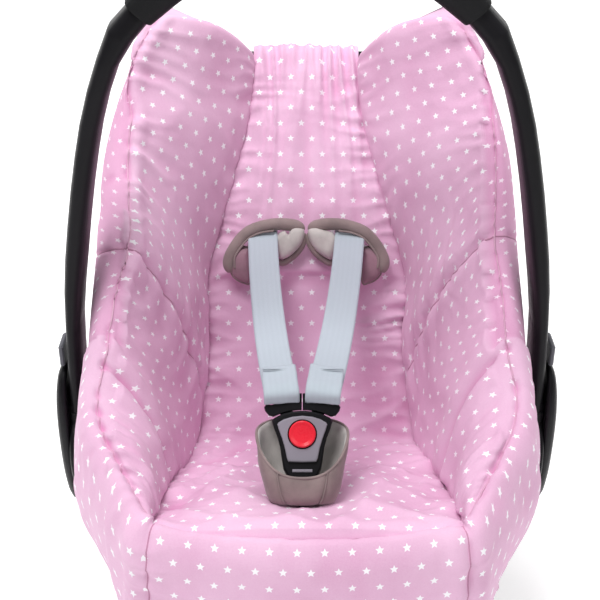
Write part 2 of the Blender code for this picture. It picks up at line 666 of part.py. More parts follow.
def crotch_pad():
    """The cup-shaped pad that the buckle stands in: an open-topped wall with a floor."""
    outer = []
    for i in range(20):
        a = 2 * math.pi * i / 20
        outer.append((math.copysign(abs(math.cos(a)) ** 0.8, math.cos(a)), math.copysign(abs(math.sin(a)) ** 0.8,
                                                                                        math.sin(a))))
    rings = []
    for t, half, deep, mid in ((0.0, 0.0225, 0.010, -0.011), (0.06, 0.0260, 0.015, -0.011), (0.30, 0.0310, 0.022, -0.0135),
                               (0.65, 0.0345, 0.0245, -0.014), (0.96, 0.0365, 0.0245, -0.014),
                               (1.0, 0.0350, 0.0230, -0.014), (0.96, 0.0335, 0.0215, -0.014),
                               (0.65, 0.0318, 0.0215, -0.014), (0.32, 0.0280, 0.0190, -0.0135),
                               (0.17, 0.0215, 0.013, -0.011)):
        ring = []
        for x, y in outer:
            # The rim dips in front and rises behind.
            rim = -0.034 * max(0.0, y) ** 1.5 + 0.012 * max(0.0, -y)
            z = CUP_FOOT + (rim - CUP_FOOT) * t
            ring.append(tuple(buckle_frame(x * half, z, mid + y * deep).translation))
        rings.append(ring)
    return loft("crotch_pad", rings, TAUPE)


def adjuster():
    """The harness adjuster under the front edge: housing, lever and the end of the pull strap."""
    y = -0.2145
    rounded_box("adjuster_housing", (0.044, 0.007, 0.030), PLASTIC, place((0, y - 0.0009, -0.030)), 0.0015)
    rounded_box("adjuster_lever", (0.030, 0.0050, 0.020), GREY, place((0, y - 0.0074, -0.0265)), 0.0012,
                origin=(0, y - 0.0050, -0.0165))
    points = [((0, y - 0.0035, -0.0455 - 0.012 * i), (0, -1, 0)) for i in range(4)]
    ribbon("adjuster_strap", points, 0.025, 0.0016, WEB)


def belt_guide(name, side):
    """A hook for the lap belt, outside the cover's hem: a block with a slot open towards the head end."""
    x = side * 0.10625
    made = rounded_box(name, (0.0235, 0.044, 0.026), PLASTIC, place((x, -0.105, -0.066)), 0.0012)
    slot = rounded_box(name + "_slot", (0.040, 0.040, 0.012), PLASTIC, place((x, -0.099, -0.066)), 0.0008)
    cut(made, slot)
    return made


def build():
    shell()
    for word, side in (("left", -1), ("right", 1)):
        rail(f"rail_{word}", side)
        hub_axle(f"hub_axle_{word}", side)
        ratchet(f"ratchet_{word}", side)
        hub_cap(f"hub_cap_{word}", side)
        release(f"handle_release_{word}", side)
        screw(f"hub_screw_{word}", side)
        bolster(f"cover_wing_{word}", side, (-4, -58), (5, -39.6), 12)
        bolster(f"cover_side_{word}", side, (-58.6, -108.6), (-40.2, -106.8), 14)
        skirt(f"cover_skirt_{word}", side)
        shoulder_strap(f"shoulder_strap_{word}", side)
        shoulder_pad(f"shoulder_pad_{word}", side)
        tongue(f"tongue_{word}", side)
        belt_guide(f"belt_guide_{word}", side)
        for place_word, y in (("front", -0.060), ("rear", 0.080)):
            foot(f"foot_{place_word}_{word}", side, y)
    slab("cover_back", -4, -64.4, 14)
    slab("cover_seat", -64.9, -108.6, 10, 0.002)
    front_skirt()
    head_hem()
    beam("beam_front", -0.150, -0.085, 0.030, 0.012)
    beam("beam_rear", 0.120, -0.090, 0.030, 0.012)
    handle()
    grip()
    buckle()
    crotch_strap()
    crotch_pad()
    adjuster()


build()
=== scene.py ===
"""The infant car seat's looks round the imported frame: cover, harness, buckle, plastics, camera, light."""

import math

import bpy
import numpy as np
from mathutils import Matrix, Vector, noise


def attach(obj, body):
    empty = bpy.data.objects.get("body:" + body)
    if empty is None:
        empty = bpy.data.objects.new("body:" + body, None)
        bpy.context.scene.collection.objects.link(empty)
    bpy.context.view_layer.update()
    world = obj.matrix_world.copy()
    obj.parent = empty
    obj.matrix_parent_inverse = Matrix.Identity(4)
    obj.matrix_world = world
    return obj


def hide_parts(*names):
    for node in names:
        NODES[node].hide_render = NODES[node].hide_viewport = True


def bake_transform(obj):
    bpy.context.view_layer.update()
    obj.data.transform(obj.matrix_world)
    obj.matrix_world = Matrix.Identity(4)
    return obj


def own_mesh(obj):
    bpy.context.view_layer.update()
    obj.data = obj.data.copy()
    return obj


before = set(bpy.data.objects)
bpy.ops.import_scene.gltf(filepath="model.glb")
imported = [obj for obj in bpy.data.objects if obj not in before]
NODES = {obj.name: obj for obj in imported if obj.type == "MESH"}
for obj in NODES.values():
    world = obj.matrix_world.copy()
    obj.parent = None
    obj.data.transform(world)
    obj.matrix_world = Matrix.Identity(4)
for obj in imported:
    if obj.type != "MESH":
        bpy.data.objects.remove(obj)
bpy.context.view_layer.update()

# The same measures as the CAD part, in metres, from the handle's pivot.
HUB_Y, HUB_Z = -0.01855, 0.155
HUB = Vector((0.0, HUB_Y, HUB_Z))
POLE_Y, POLE_Z = -0.100, 0.300
PAD = 0.0205
BUCKLE = Vector((-0.004, -0.105, 0.085))
BUCKLE_TILT = math.radians(38)
CREASE_X = [(6, 47), (-4, 47), (-12, 51), (-22, 64), (-32, 79), (-42, 93), (-53, 92), (-64, 100),
            (-76, 112), (-92, 118), (-109, 114)]
RIDGE_X = [(6, 118), (1, 148), (-10, 157), (-25, 157), (-42, 154), (-57, 158), (-71, 161), (-84, 165),
           (-93, 154), (-101, 134), (-107, 120)]
RIDGE_R = [(6, 272), (1, 236), (-10, 202), (-25, 178), (-42, 170), (-57, 174), (-71, 189), (-84, 206),
           (-93, 216), (-101, 233), (-107, 254)]
WIDE_X = [(6, 140), (2, 150), (-6, 166), (-16, 177), (-30, 182), (-45, 183), (-70, 185), (-84, 184),
          (-95, 172), (-101, 154), (-107, 136)]
WIDE_R = [(6, 292), (2, 272), (-6, 246), (-16, 224), (-30, 208), (-45, 200), (-58, 203), (-70, 215),
          (-84, 228), (-93, 237), (-101, 247), (-107, 262)]
HEM_R = [(4, 335), (-20, 318), (-40, 312), (-60, 352), (-67, 378), (-80, 360), (-95, 348), (-103, 352)]


# The rim's skin: stations along its path, and points across its inner and outer faces.
RIM_STATIONS, RIM_INSIDE, RIM_OUTSIDE = 470, 44, 46
# Key outlines, counted from the head end of the right and of the left side, where the seams and folds lie.
MID_SEAMS, THIGH_FOLDS, CORNER_SEAMS = (25.0, 26.5), (36.5, 38.1), (47.0, 47.0)
# The handle's arms swing past this far from the middle: the folds' height there, and how far they draw in.
ARM_SIDE, ARM_FOLD, ARM_TUCK = 0.152, 0.0008, 0.0024
SEAM_CORD, FRONT_CORD, RIDGE_CORD = 0.0007, 0.0009, 0.0008
# The star print, in metres and millimetres: the pitch across and along, and a star's tips and notches.
STAR_ACROSS, STAR_ALONG = 0.0197, 0.0145
STAR_TIP, STAR_NOTCH = 3.3, 1.5
TAU = 2 * math.pi


def curve(table, at):
    """A smooth reading of a table of (angle or place, millimetres), in metres, held at both its ends."""
    xs = np.array([row[0] for row in table], float)
    ys = np.array([row[1] for row in table], float) / 1000
    order = np.argsort(xs)
    xs, ys = xs[order], ys[order]
    slopes = np.gradient(ys, xs)
    at = min(max(at, xs[0]), xs[-1])
    i = min(int(np.searchsorted(xs, at, side="right")) - 1, len(xs) - 2)
    h = xs[i + 1] - xs[i]
    t = (at - xs[i]) / h
    a, b = 2 * t**3 - 3 * t**2 + 1, t**3 - 2 * t**2 + t
    c, d = -2 * t**3 + 3 * t**2, t**3 - t**2
    return a * ys[i] + b * h * slopes[i] + c * ys[i + 1] + d * h * slopes[i + 1]


def fan(x, angle, length):
    """A point by its distance and angle from the bucket's pole."""
    a = math.radians(angle)
    return np.array((x, POLE_Y + length * math.cos(a), POLE_Z + length * math.sin(a)))


def floor_depth(angle):
    """How far the seat and the backrest lie from the pole, with the bend between them rounded."""
    a = math.radians(angle)
    ray = np.array((math.cos(a), math.sin(a)))
    lengths = []
    for start, end in (((0.050, -0.050), (0.230, 0.278)), ((0.050, -0.050), (-0.185, 0.054))):
        normal = np.array((-(end[1] - start[1]), end[0] - start[0]))
        reach = np.dot(np.array(start) - (POLE_Y, POLE_Z), normal) / np.dot(ray, normal)
        lengths.append(reach if reach > 0 else 9.0)
    near, far = sorted(lengths)
    return near - 0.012 * math.exp(-(far - near) / 0.020)


def smooth(value, low, high):
    """0 below low, 1 above high, and a soft step between."""
    t = np.clip((value - low) / (high - low), 0.0, 1.0)
    return t * t * (3 - 2 * t)


def fade(x, reach):
    """1 at 0, and falling away over the reach."""
    return math.exp(-x / reach)


def bell(x, at, width):
    """1 at a place, and falling away on both sides over the width."""
    return math.exp(-(((x - at) / width) ** 2))


def noise3(p, scale, seed):
    return noise.noise(Vector((p[0] / scale + seed, p[1] / scale, p[2] / scale)))


def creases(across, along, wave, run, seed):
    """Fold lines that run along one way, wander a little, and are sharp in their valleys."""
    a = across / wave + 0.9 * noise.noise(Vector((across / wave * 0.3, along / run, seed)))
    n = noise.noise(Vector((a, along / run * 0.6, seed + 5.0)))
    return 1.0 - 2.2 * abs(n) ** 0.75


# ---------------------------------------------------------------- meshes


def mesh_object(name, points, faces, uv=None):
    mesh = bpy.data.meshes.new(name)
    mesh.from_pydata([tuple(HUB + Vector(p)) for p in points], [], faces)
    if uv is not None:
        layer = mesh.uv_layers.new(name="cloth")
        for loop in mesh.loops:
            layer.data[loop.index].uv = uv[loop.vertex_index]
    for polygon in mesh.polygons:
        polygon.use_smooth = True
    obj = bpy.data.objects.new(name, mesh)
    bpy.context.collection.objects.link(obj)
    mesh.update()
    total = 0.0
    mesh.calc_loop_triangles()
    middle = sum((v.co for v in mesh.vertices), Vector()) / len(mesh.vertices)
    for tri in mesh.loop_triangles:
        a, b, c = (mesh.vertices[i].co - middle for i in tri.vertices)
        total += a.dot(b.cross(c))
    if total < 0:
        mesh.flip_normals()
    return obj


def skin(name, rings, uv=None):
    """Joins equal rings into one closed skin whose ends are capped by strips."""
    count, size = len(rings), len(rings[0])
    points = [tuple(p) for ring in rings for p in ring]
    faces = []
    for i in range(count - 1):
        a, b = i * size, (i + 1) * size
        for j in range(size):
            k = (j + 1) % size
            faces.append((a + j, a + k, b + k, b + j))
    for start, turn in ((0, 1), ((count - 1) * size, -1)):
        for j in range((size - 1) // 2):
            face = [start + j, start + size - 1 - j, start + size - 2 - j, start + j + 1]
            face = [v for m, v in enumerate(face) if v not in face[:m]]
            if len(face) > 2:
                faces.append(tuple(face[::turn]))
    flat = None if uv is None else [tuple(p) for ring in uv for p in ring]
    return mesh_object(name, points, faces, flat)


def between(p0, p1, p2, p3, t):
    """The Catmull-Rom curve from p1 to p2."""
    return 0.5 * (2 * p1 + (p2 - p0) * t + (2 * p0 - 5 * p1 + 4 * p2 - p3) * t * t
                  + (3 * p1 - p0 - 3 * p2 + p3) * t**3)


def run_along(points):
    """How far each point of a line lies from its start."""
    return np.concatenate([[0], np.cumsum(np.linalg.norm(np.diff(points, axis=0), axis=1))])


def spline(controls, samples):
    """Evenly spaced points along a smooth curve through the control points."""
    pts = [np.array(p, float) for p in controls]
    pts = [2 * pts[0] - pts[1]] + pts + [2 * pts[-1] - pts[-2]]
    dense = []
    for i in range(1, len(pts) - 2):
        for k in range(12):
            dense.append(between(*pts[i - 1 : i + 3], k / 12))
    dense.append(pts[-2])
    dense = np.array(dense)
    length = run_along(dense)
    want = np.linspace(0, length[-1], samples)
    return np.stack([np.interp(want, length, dense[:, k]) for k in range(3)], axis=1), want


def displace(obj, amounts):
    """Moves each vertex along its normal, and keeps how deep it lies for the painted shade in the cloth's
    folds.
    """
    normals = [v.normal.copy() for v in obj.data.vertices]
    depth = obj.data.attributes.new("fold", "FLOAT", "POINT")
    for item, d in zip(depth.data, amounts):
        item.value = max(0.0, min(1.0, -float(d) / 0.0050))
    for v, n, d in zip(obj.data.vertices, normals, amounts):
        v.co += n * float(d)
    obj.data.update()


# ---------------------------------------------------------------- materials


class Nodes:
    def __init__(self, name):
        self.material = bpy.data.materials.new(name)
        self.material.use_nodes = True
        self.tree = self.material.node_tree
        self.shader = self.tree.nodes["Principled BSDF"]

    def add(self, kind, values=None, **settings):
        node = self.tree.nodes.new(kind)
        for key, value in settings.items():
            setattr(node, key, value)
        for key, value in (values or {}).items():
            node.inputs[key].default_value = value
        return node

    def link(self, source, target):
        self.tree.links.new(source, target)

    def set(self, **values):
        for key, value in values.items():
            self.shader.inputs[key.replace("_", " ")].default_value = value

    def math(self, operation, a, b=None, c=None):
        node = self.add("ShaderNodeMath", operation=operation)
        for i, value in enumerate((a, b, c)):
            if value is None:
                continue
            if isinstance(value, (int, float)):
                node.inputs[i].default_value = value
            else:
                self.link(value, node.inputs[i])
        return node.outputs[0]

    def mix(self, factor, a, b, blend="MIX"):
        node = self.add("ShaderNodeMix", data_type="RGBA", blend_type=blend)
        for socket, value in ((node.inputs[0], factor), (node.inputs[6], a), (node.inputs[7], b)):
            if isinstance(value, (int, float)):
                socket.default_value = value
            elif isinstance(value, tuple):
                socket.default_value = (*value, 1.0)
            else:
                self.link(value, socket)
        return node.outputs[2]

    def noise(self, vector, scale, detail=2.0, rough=0.5):
        node = self.add("ShaderNodeTexNoise", {"Scale": scale, "Detail": detail, "Roughness": rough})
        self.link(vector, node.inputs["Vector"])
        return node.outputs["Fac"]

    def bump(self, height, strength, distance, under=None):
        node = self.add("ShaderNodeBump", {"Strength": strength, "Distance": distance})
        self.link(height, node.inputs["Height"])
        if under is not None:
            self.link(under, node.inputs["Normal"])
        return node.outputs[0]

    def ramp(self, value, low, high, a=0.0, b=1.0):
        node = self.add("ShaderNodeMapRange", {1: low, 2: high, 3: a, 4: b})
        self.link(value, node.inputs[0])
        return node.outputs[0]


def star_mask(n, uv):
    """1 inside the five-pointed stars of a staggered print, from a cloth position in metres."""
    split = n.add("ShaderNodeSeparateXYZ")
    n.link(uv, split.inputs[0])
    u = n.math("DIVIDE", split.outputs[0], STAR_ACROSS)
    v = n.math("DIVIDE", split.outputs[1], STAR_ALONG)
    row = n.math("FLOOR", v)
    odd = n.math("MODULO", n.math("ABSOLUTE", row), 2.0)
    u = n.math("ADD", u, n.math("MULTIPLY", odd, 0.5))
    x = n.math("MULTIPLY", n.math("SUBTRACT", n.math("FRACT", u), 0.5), STAR_ACROSS * 1000)
    y = n.math("MULTIPLY", n.math("SUBTRACT", n.math("FRACT", v), 0.5), STAR_ALONG * 1000)
    radius = n.math("SQRT", n.math("ADD", n.math("MULTIPLY", x, x), n.math("MULTIPLY", y, y)))
    angle = n.math("ARCTAN2", x, y)
    fifth = TAU / 5
    folded = n.math("ABSOLUTE", n.math("WRAP", angle, fifth / 2, -fifth / 2))
    px = n.math("MULTIPLY", radius, n.math("COSINE", folded))
    py = n.math("MULTIPLY", radius, n.math("SINE", folded))
    a = n.math("MULTIPLY", n.math("SUBTRACT", px, STAR_TIP), STAR_NOTCH * math.sin(fifth / 2))
    b = n.math("MULTIPLY", py, STAR_TIP - STAR_NOTCH * math.cos(fifth / 2))
    return n.ramp(n.math("ADD", a, b), 0.12, -0.12)


def fabric(name, stars=True, tint=(0.765, 0.478, 0.655)):
    """Woven cotton with a soft nap, with painted shade darkening it down in its folds and seams."""
    n = Nodes(name)
    place = n.add("ShaderNodeTexCoord")
    uv = place.outputs["UV"]
    obj = place.outputs["Object"]
    shade = n.noise(obj, 14.0, 3.0)
    deep = tuple(c * f for c, f in zip(tint, (0.90, 0.82, 0.87)))
    colour = n.mix(n.ramp(shade, 0.35, 0.65), tint, deep)
    fuzz = n.noise(obj, 900.0, 2.0)
    colour = n.mix(n.ramp(fuzz, 0.3, 0.7, 0.0, 0.12), colour, (0.90, 0.74, 0.83))
    if stars:
        colour = n.mix(star_mask(n, uv), colour, (0.90, 0.87, 0.91))
    # Painted shade: the cloth is darkened where the skin lies sunk in its folds, seams and tucks.
    fold = n.add("ShaderNodeAttribute", attribute_name="fold")
    colour = n.mix(n.math("MULTIPLY", fold.outputs["Fac"], 0.85), colour, (0.88, 0.56, 0.74), "MULTIPLY")
    n.link(colour, n.shader.inputs["Base Color"])
    threads = []
    for way in "XY":
        wave = n.add("ShaderNodeTexWave", {"Scale": 320.0, "Distortion": 1.5}, bands_direction=way)
        n.link(uv, wave.inputs["Vector"])
        threads.append(wave.outputs["Fac"])
    weave = n.math("ADD", *threads)
    rumple = n.noise(obj, 95.0, 3.0, 0.55)
    under = n.bump(rumple, 0.35, 0.0012)
    n.link(n.bump(n.math("ADD", weave, fuzz), 0.22, 0.0003, under), n.shader.inputs["Normal"])
    n.set(Roughness=0.86, Sheen_Weight=0.18, Sheen_Roughness=0.45, Sheen_Tint=(1.0, 0.85, 0.93, 1.0))
    n.set(Specular_IOR_Level=0.25)
    return n.material


def webbing_material(name, colour):
    """Twill webbing: two crossing ribs with painted shade down between them, cords along its length and a
    little wear.
    """
    n = Nodes(name)
    where = n.add("ShaderNodeTexCoord")
    split = n.add("ShaderNodeSeparateXYZ")
    n.link(where.outputs["UV"], split.inputs[0])
    rib = n.math("SINE", n.math("MULTIPLY", n.math("ADD", split.outputs[0], split.outputs[1]), 5200.0))
    other = n.math("SINE", n.math("MULTIPLY", n.math("SUBTRACT", split.outputs[1], split.outputs[0]), 5200.0))
    weave = n.math("MULTIPLY", rib, other)
    cords = n.math("SINE", n.math("MULTIPLY", split.outputs[0], TAU / 0.0045))
    height = n.math("ADD", n.math("MULTIPLY", weave, 0.6), n.math("MULTIPLY", cords, 0.12))
    wear = n.noise(where.outputs["Object"], 30.0, 3.0)
    dark = tuple(c * 0.86 for c in colour)
    # Painted shade: the webbing is darker down between its ribs.
    rib_shade = n.mix(n.ramp(height, -0.7, 0.7), dark, colour)
    n.link(n.mix(n.ramp(wear, 0.35, 0.7, 0.0, 0.25), rib_shade, dark), n.shader.inputs["Base Color"])
    n.link(n.bump(height, 0.4, 0.0003), n.shader.inputs["Normal"])
    n.set(Roughness=0.66, Sheen_Weight=0.1)
    return n.material


def leather(name, colour):
    """A soft leather-like fabric with a fine cell grain."""
    n = Nodes(name)
    obj = n.add("ShaderNodeTexCoord").outputs["Object"]
    cells = n.add("ShaderNodeTexVoronoi", {"Scale": 620.0})
    n.link(obj, cells.inputs["Vector"])
    soft = n.noise(obj, 60.0, 3.0)
    dark = tuple(c * 0.78 for c in colour)
    n.link(n.mix(n.ramp(soft, 0.35, 0.65), colour, dark), n.shader.inputs["Base Color"])
    grain = n.bump(cells.outputs["Distance"], 0.25, 0.0004, n.bump(soft, 0.3, 0.0012))
    n.link(grain, n.shader.inputs["Normal"])
    n.set(Roughness=0.72, Sheen_Weight=0.25)
    n.set(Specular_IOR_Level=0.22)
    return n.material


def plastic(name, colour, rough, grain=0.08, size=700.0, coat=0.0, rounding=0.0):
    """Moulded plastic with a fine grain. A rounding, in metres, softens the shading across edges."""
    n = Nodes(name)
    obj = n.add("ShaderNodeTexCoord").outputs["Object"]
    fine = n.noise(obj, size, 3.0)
    broad = n.noise(obj, 9.0, 3.0)
    lift = tuple(min(1.0, c * 1.25 + 0.002) for c in colour)
    n.link(n.mix(n.ramp(broad, 0.35, 0.65), colour, lift), n.shader.inputs["Base Color"])
    n.link(n.ramp(n.math("ADD", n.math("MULTIPLY", broad, 0.5), n.math("MULTIPLY", fine, 0.5)), 0.3, 0.7,
                  rough - 0.06, rough + 0.07), n.shader.inputs["Roughness"])
    under = None
    if rounding:
        under = n.add("ShaderNodeBevel", {"Radius": rounding}, samples=8).outputs[0]
    n.link(n.bump(fine, grain, 0.0004, under), n.shader.inputs["Normal"])
    n.set(Coat_Weight=coat, Coat_Roughness=0.2)
    n.set(Specular_IOR_Level=0.13)
    return n.material


def metal(name):
    n = Nodes(name)
    obj = n.add("ShaderNodeTexCoord").outputs["Object"]
    fine = n.noise(obj, 400.0, 3.0)
    n.link(n.mix(fine, (0.55, 0.55, 0.56), (0.72, 0.72, 0.73)), n.shader.inputs["Base Color"])
    n.link(n.ramp(fine, 0.3, 0.7, 0.22, 0.38), n.shader.inputs["Roughness"])
    n.set(Metallic=1.0)
    return n.material


STAR_CLOTH = fabric("cover_star_fabric")
# Ridge cord: a real corded edge, in a darker pink that paints the shade in the ridge seam.
PIPING_SHADE = fabric("cover_piping_shade", stars=False, tint=(0.66, 0.38, 0.52))
# Seam cords: a dark pink that paints the shade down in the seams.
SEAM_SHADE = fabric("cover_seam_shade", stars=False, tint=(0.50, 0.24, 0.36))
WEB = webbing_material("pale_webbing", (0.46, 0.52, 0.58))
THREAD = webbing_material("thread", (0.36, 0.40, 0.45))
TAUPE = leather("taupe_leather", (0.270, 0.205, 0.200))
# The pads' outer lobe is the taupe fabric, coloured mauve as painted shade.
TAUPE_IN_SHADE = leather("taupe_leather_in_shade", (0.33, 0.19, 0.235))
CREAM = leather("cream_lining", (0.56, 0.52, 0.50))
BLACK = plastic("satin_black", (0.0055, 0.0050, 0.0065), 0.36, 0.10)
SHELL = plastic("shell_black", (0.012, 0.012, 0.014), 0.52, 0.35, 450.0)
ROUND_BLACK = plastic("satin_black_rounded", (0.0055, 0.0050, 0.0065), 0.36, 0.10, rounding=0.004)
GRIP = plastic("grip_black", (0.0080, 0.0080, 0.0090), 0.56, 0.45, 520.0, rounding=0.004)
GREY = plastic("satin_grey", (0.21, 0.19, 0.225), 0.34, 0.06)
# The handle release is black plastic, made dark grey as a painted highlight.
HIGHLIT_BLACK = plastic("black_painted_highlight", (0.10, 0.10, 0.115), 0.38, 0.06)
RED = plastic("button_red", (0.62, 0.012, 0.028), 0.26, 0.04, 600.0, 0.4)
STEEL = metal("bright_steel")


def paint(node, material):
    """Gives a CAD node's object this material in each of its slots."""
    obj = NODES[node]
    if not obj.material_slots:
        obj.data.materials.append(material)
    for i in range(len(obj.material_slots)):
        obj.material_slots[i].material = material


# ---------------------------------------------------------------- cover


def side_controls(s, side):
    """One side of the cover in outline, at a share of the way from head to foot: inner, outer, hidden."""
    low = float(np.interp(s, [0, 0.5, 1], [-4, -58.3, -108.6]))
    high = float(np.interp(s, [0, 0.5, 1], [5, -39.9, -106.8]))
    k = (curve(CREASE_X, low) + 0.0004, floor_depth(low))
    r = [curve(RIDGE_X, high), curve(RIDGE_R, high)]
    w = (curve(WIDE_X, high), curve(WIDE_R, high))
    if side < 0:
        r[0] -= 0.009 * smooth(s, 0.02, 0.15) * (1 - smooth(s, 0.45, 0.75))
    hem = curve(HEM_R, high)
    wall = curve(WIDE_X, low) - 0.0155 - 0.010 * smooth(-low, 78, 98)
    corner = min(0.030, max(0.005, (k[1] + PAD - w[1] - 0.0135) * 0.62))
    crest = 4.5 * max(0.0, 1 - s / 0.10) ** 1.5
    thigh = smooth(s, 0.66, 0.80)
    puff = 0.0075 + 0.004 * thigh
    inner = []
    for t, peak in ((0.0, 0.25), (0.07, 0.45), (0.22, 0.75), (0.45, 1.0), (0.70, 1.05), (0.90, 1.0),
                    (0.98, 0.95)):
        bow = -puff * math.sin(math.pi * min(1.0, t * 1.02)) ** 0.85
        angle = low + (high - low) * t + crest * peak
        inner.append(fan(k[0] + (r[0] - k[0]) * t + bow, angle, k[1] + (r[1] - k[1]) * t + bow))
    bulge = smooth(s, 0.66, 0.84)
    mid = w[1] * 0.4 + hem * 0.6
    outer = [fan(r[0] + (w[0] - r[0]) * 0.06, high + 0.93 * crest, r[1] + 0.0004),
             fan(r[0] + (w[0] - r[0]) * 0.52, high + 0.75 * crest, r[1] + (w[1] - r[1]) * 0.06 - 0.001),
             fan(r[0] + (w[0] - r[0]) * 0.90, high + 0.45 * crest, r[1] + (w[1] - r[1]) * 0.48),
             fan(w[0] + 0.001 * bulge, high + 0.3 * crest, w[1] + 0.004),
             fan(w[0] - 0.001 + 0.007 * bulge, high + 0.15 * crest, w[1] + 0.030),
             fan(w[0] - 0.0015 + 0.002 * bulge, high, mid),
             fan(w[0] - 0.004 - 0.012 * bulge, high, hem - 0.008),
             fan(w[0] - 0.0062 - 0.014 * bulge, high, hem)]
    hidden = [fan(w[0] - 0.0080 - 0.014 * bulge, high, hem - 0.006),
              fan(w[0] - 0.0088 - 0.006 * bulge, high, (w[1] + hem) / 2),
              fan(w[0] - 0.0088, high, w[1] + 0.022), fan(w[0] - 0.0100, high, w[1] + 0.0128),
              fan(w[0] - 0.0152, high, w[1] + 0.0140), fan(wall, low, k[1] + PAD - corner - 0.003),
              fan(wall - corner, low, k[1] + PAD - 0.003), fan(k[0], low, k[1] + PAD - 0.003)]
    return inner + outer + hidden


def front_controls(x, y, z, lean):
    """The rolled front edge in outline, at a point of its fold line: a roll, then the hanging panel."""
    out = np.array((math.sin(lean), -math.cos(lean), 0.0))
    place = lambda o, up: np.array((x, y, z)) + out * o + np.array((0, 0, up))
    inner = [place(-0.0016 + 0.0002 * i, -0.0060 + 0.0010 * i) for i in range(7)]
    outer = [place(0.0012, 0.0018), place(0.0055, 0.0040), place(0.0125, 0.0040), place(0.0200, -0.0020),
             place(0.0250, -0.0160), place(0.0258, -0.0500), place(0.0240, -0.0940), place(0.0215, -0.1080)]
    hidden = [place(0.0195, -0.1060), place(0.0215, -0.0600), place(0.0190, -0.0200), place(0.0150, -0.0100),
              place(0.0100, -0.0065), place(0.0060, -0.0070), place(0.0030, -0.0080), place(0.0, -0.0080)]
    return inner + outer + hidden


def rim_keys():
    """Outlines in order from the right side's head end, round the front, to the left side's head end."""
    keys = []
    for side in (1, -1):
        run = [side_controls(s, side) for s in np.linspace(0, 0.90, 46)]
        run += [front_controls(0.1190, -0.1670, 0.0555, 0.62), front_controls(0.1135, -0.1750, 0.0525, 0.22),
                front_controls(0.0930, -0.1785, 0.0515, 0.10), front_controls(0.0560, -0.1845, 0.0510, 0.05)]
        if side < 0:
            run = [[p * np.array((-1, 1, 1)) for p in ring] for ring in run]
            keys.append([np.array(p) for p in front_controls(0.0, -0.1880, 0.0508, 0.0)])
            keys += run[::-1]
        else:
            keys += run
    return np.array(keys)


def valley(d, deep, wide, high, off, spread):
    """A seam's depth at a distance from it: a narrow valley, less the padding that stands up beside it."""
    return deep * bell(d, 0.0, wide) - high * bell(d, off, spread)


def cloth_place(v, c, inside, in_front):
    """A point's place in the rim's printed cloth, from its run along the rim and across it."""
    if in_front:
        return v, -c + 0.003
    return c + (0.004 if inside else 0.0125), -v + (0 if inside else 0.006)


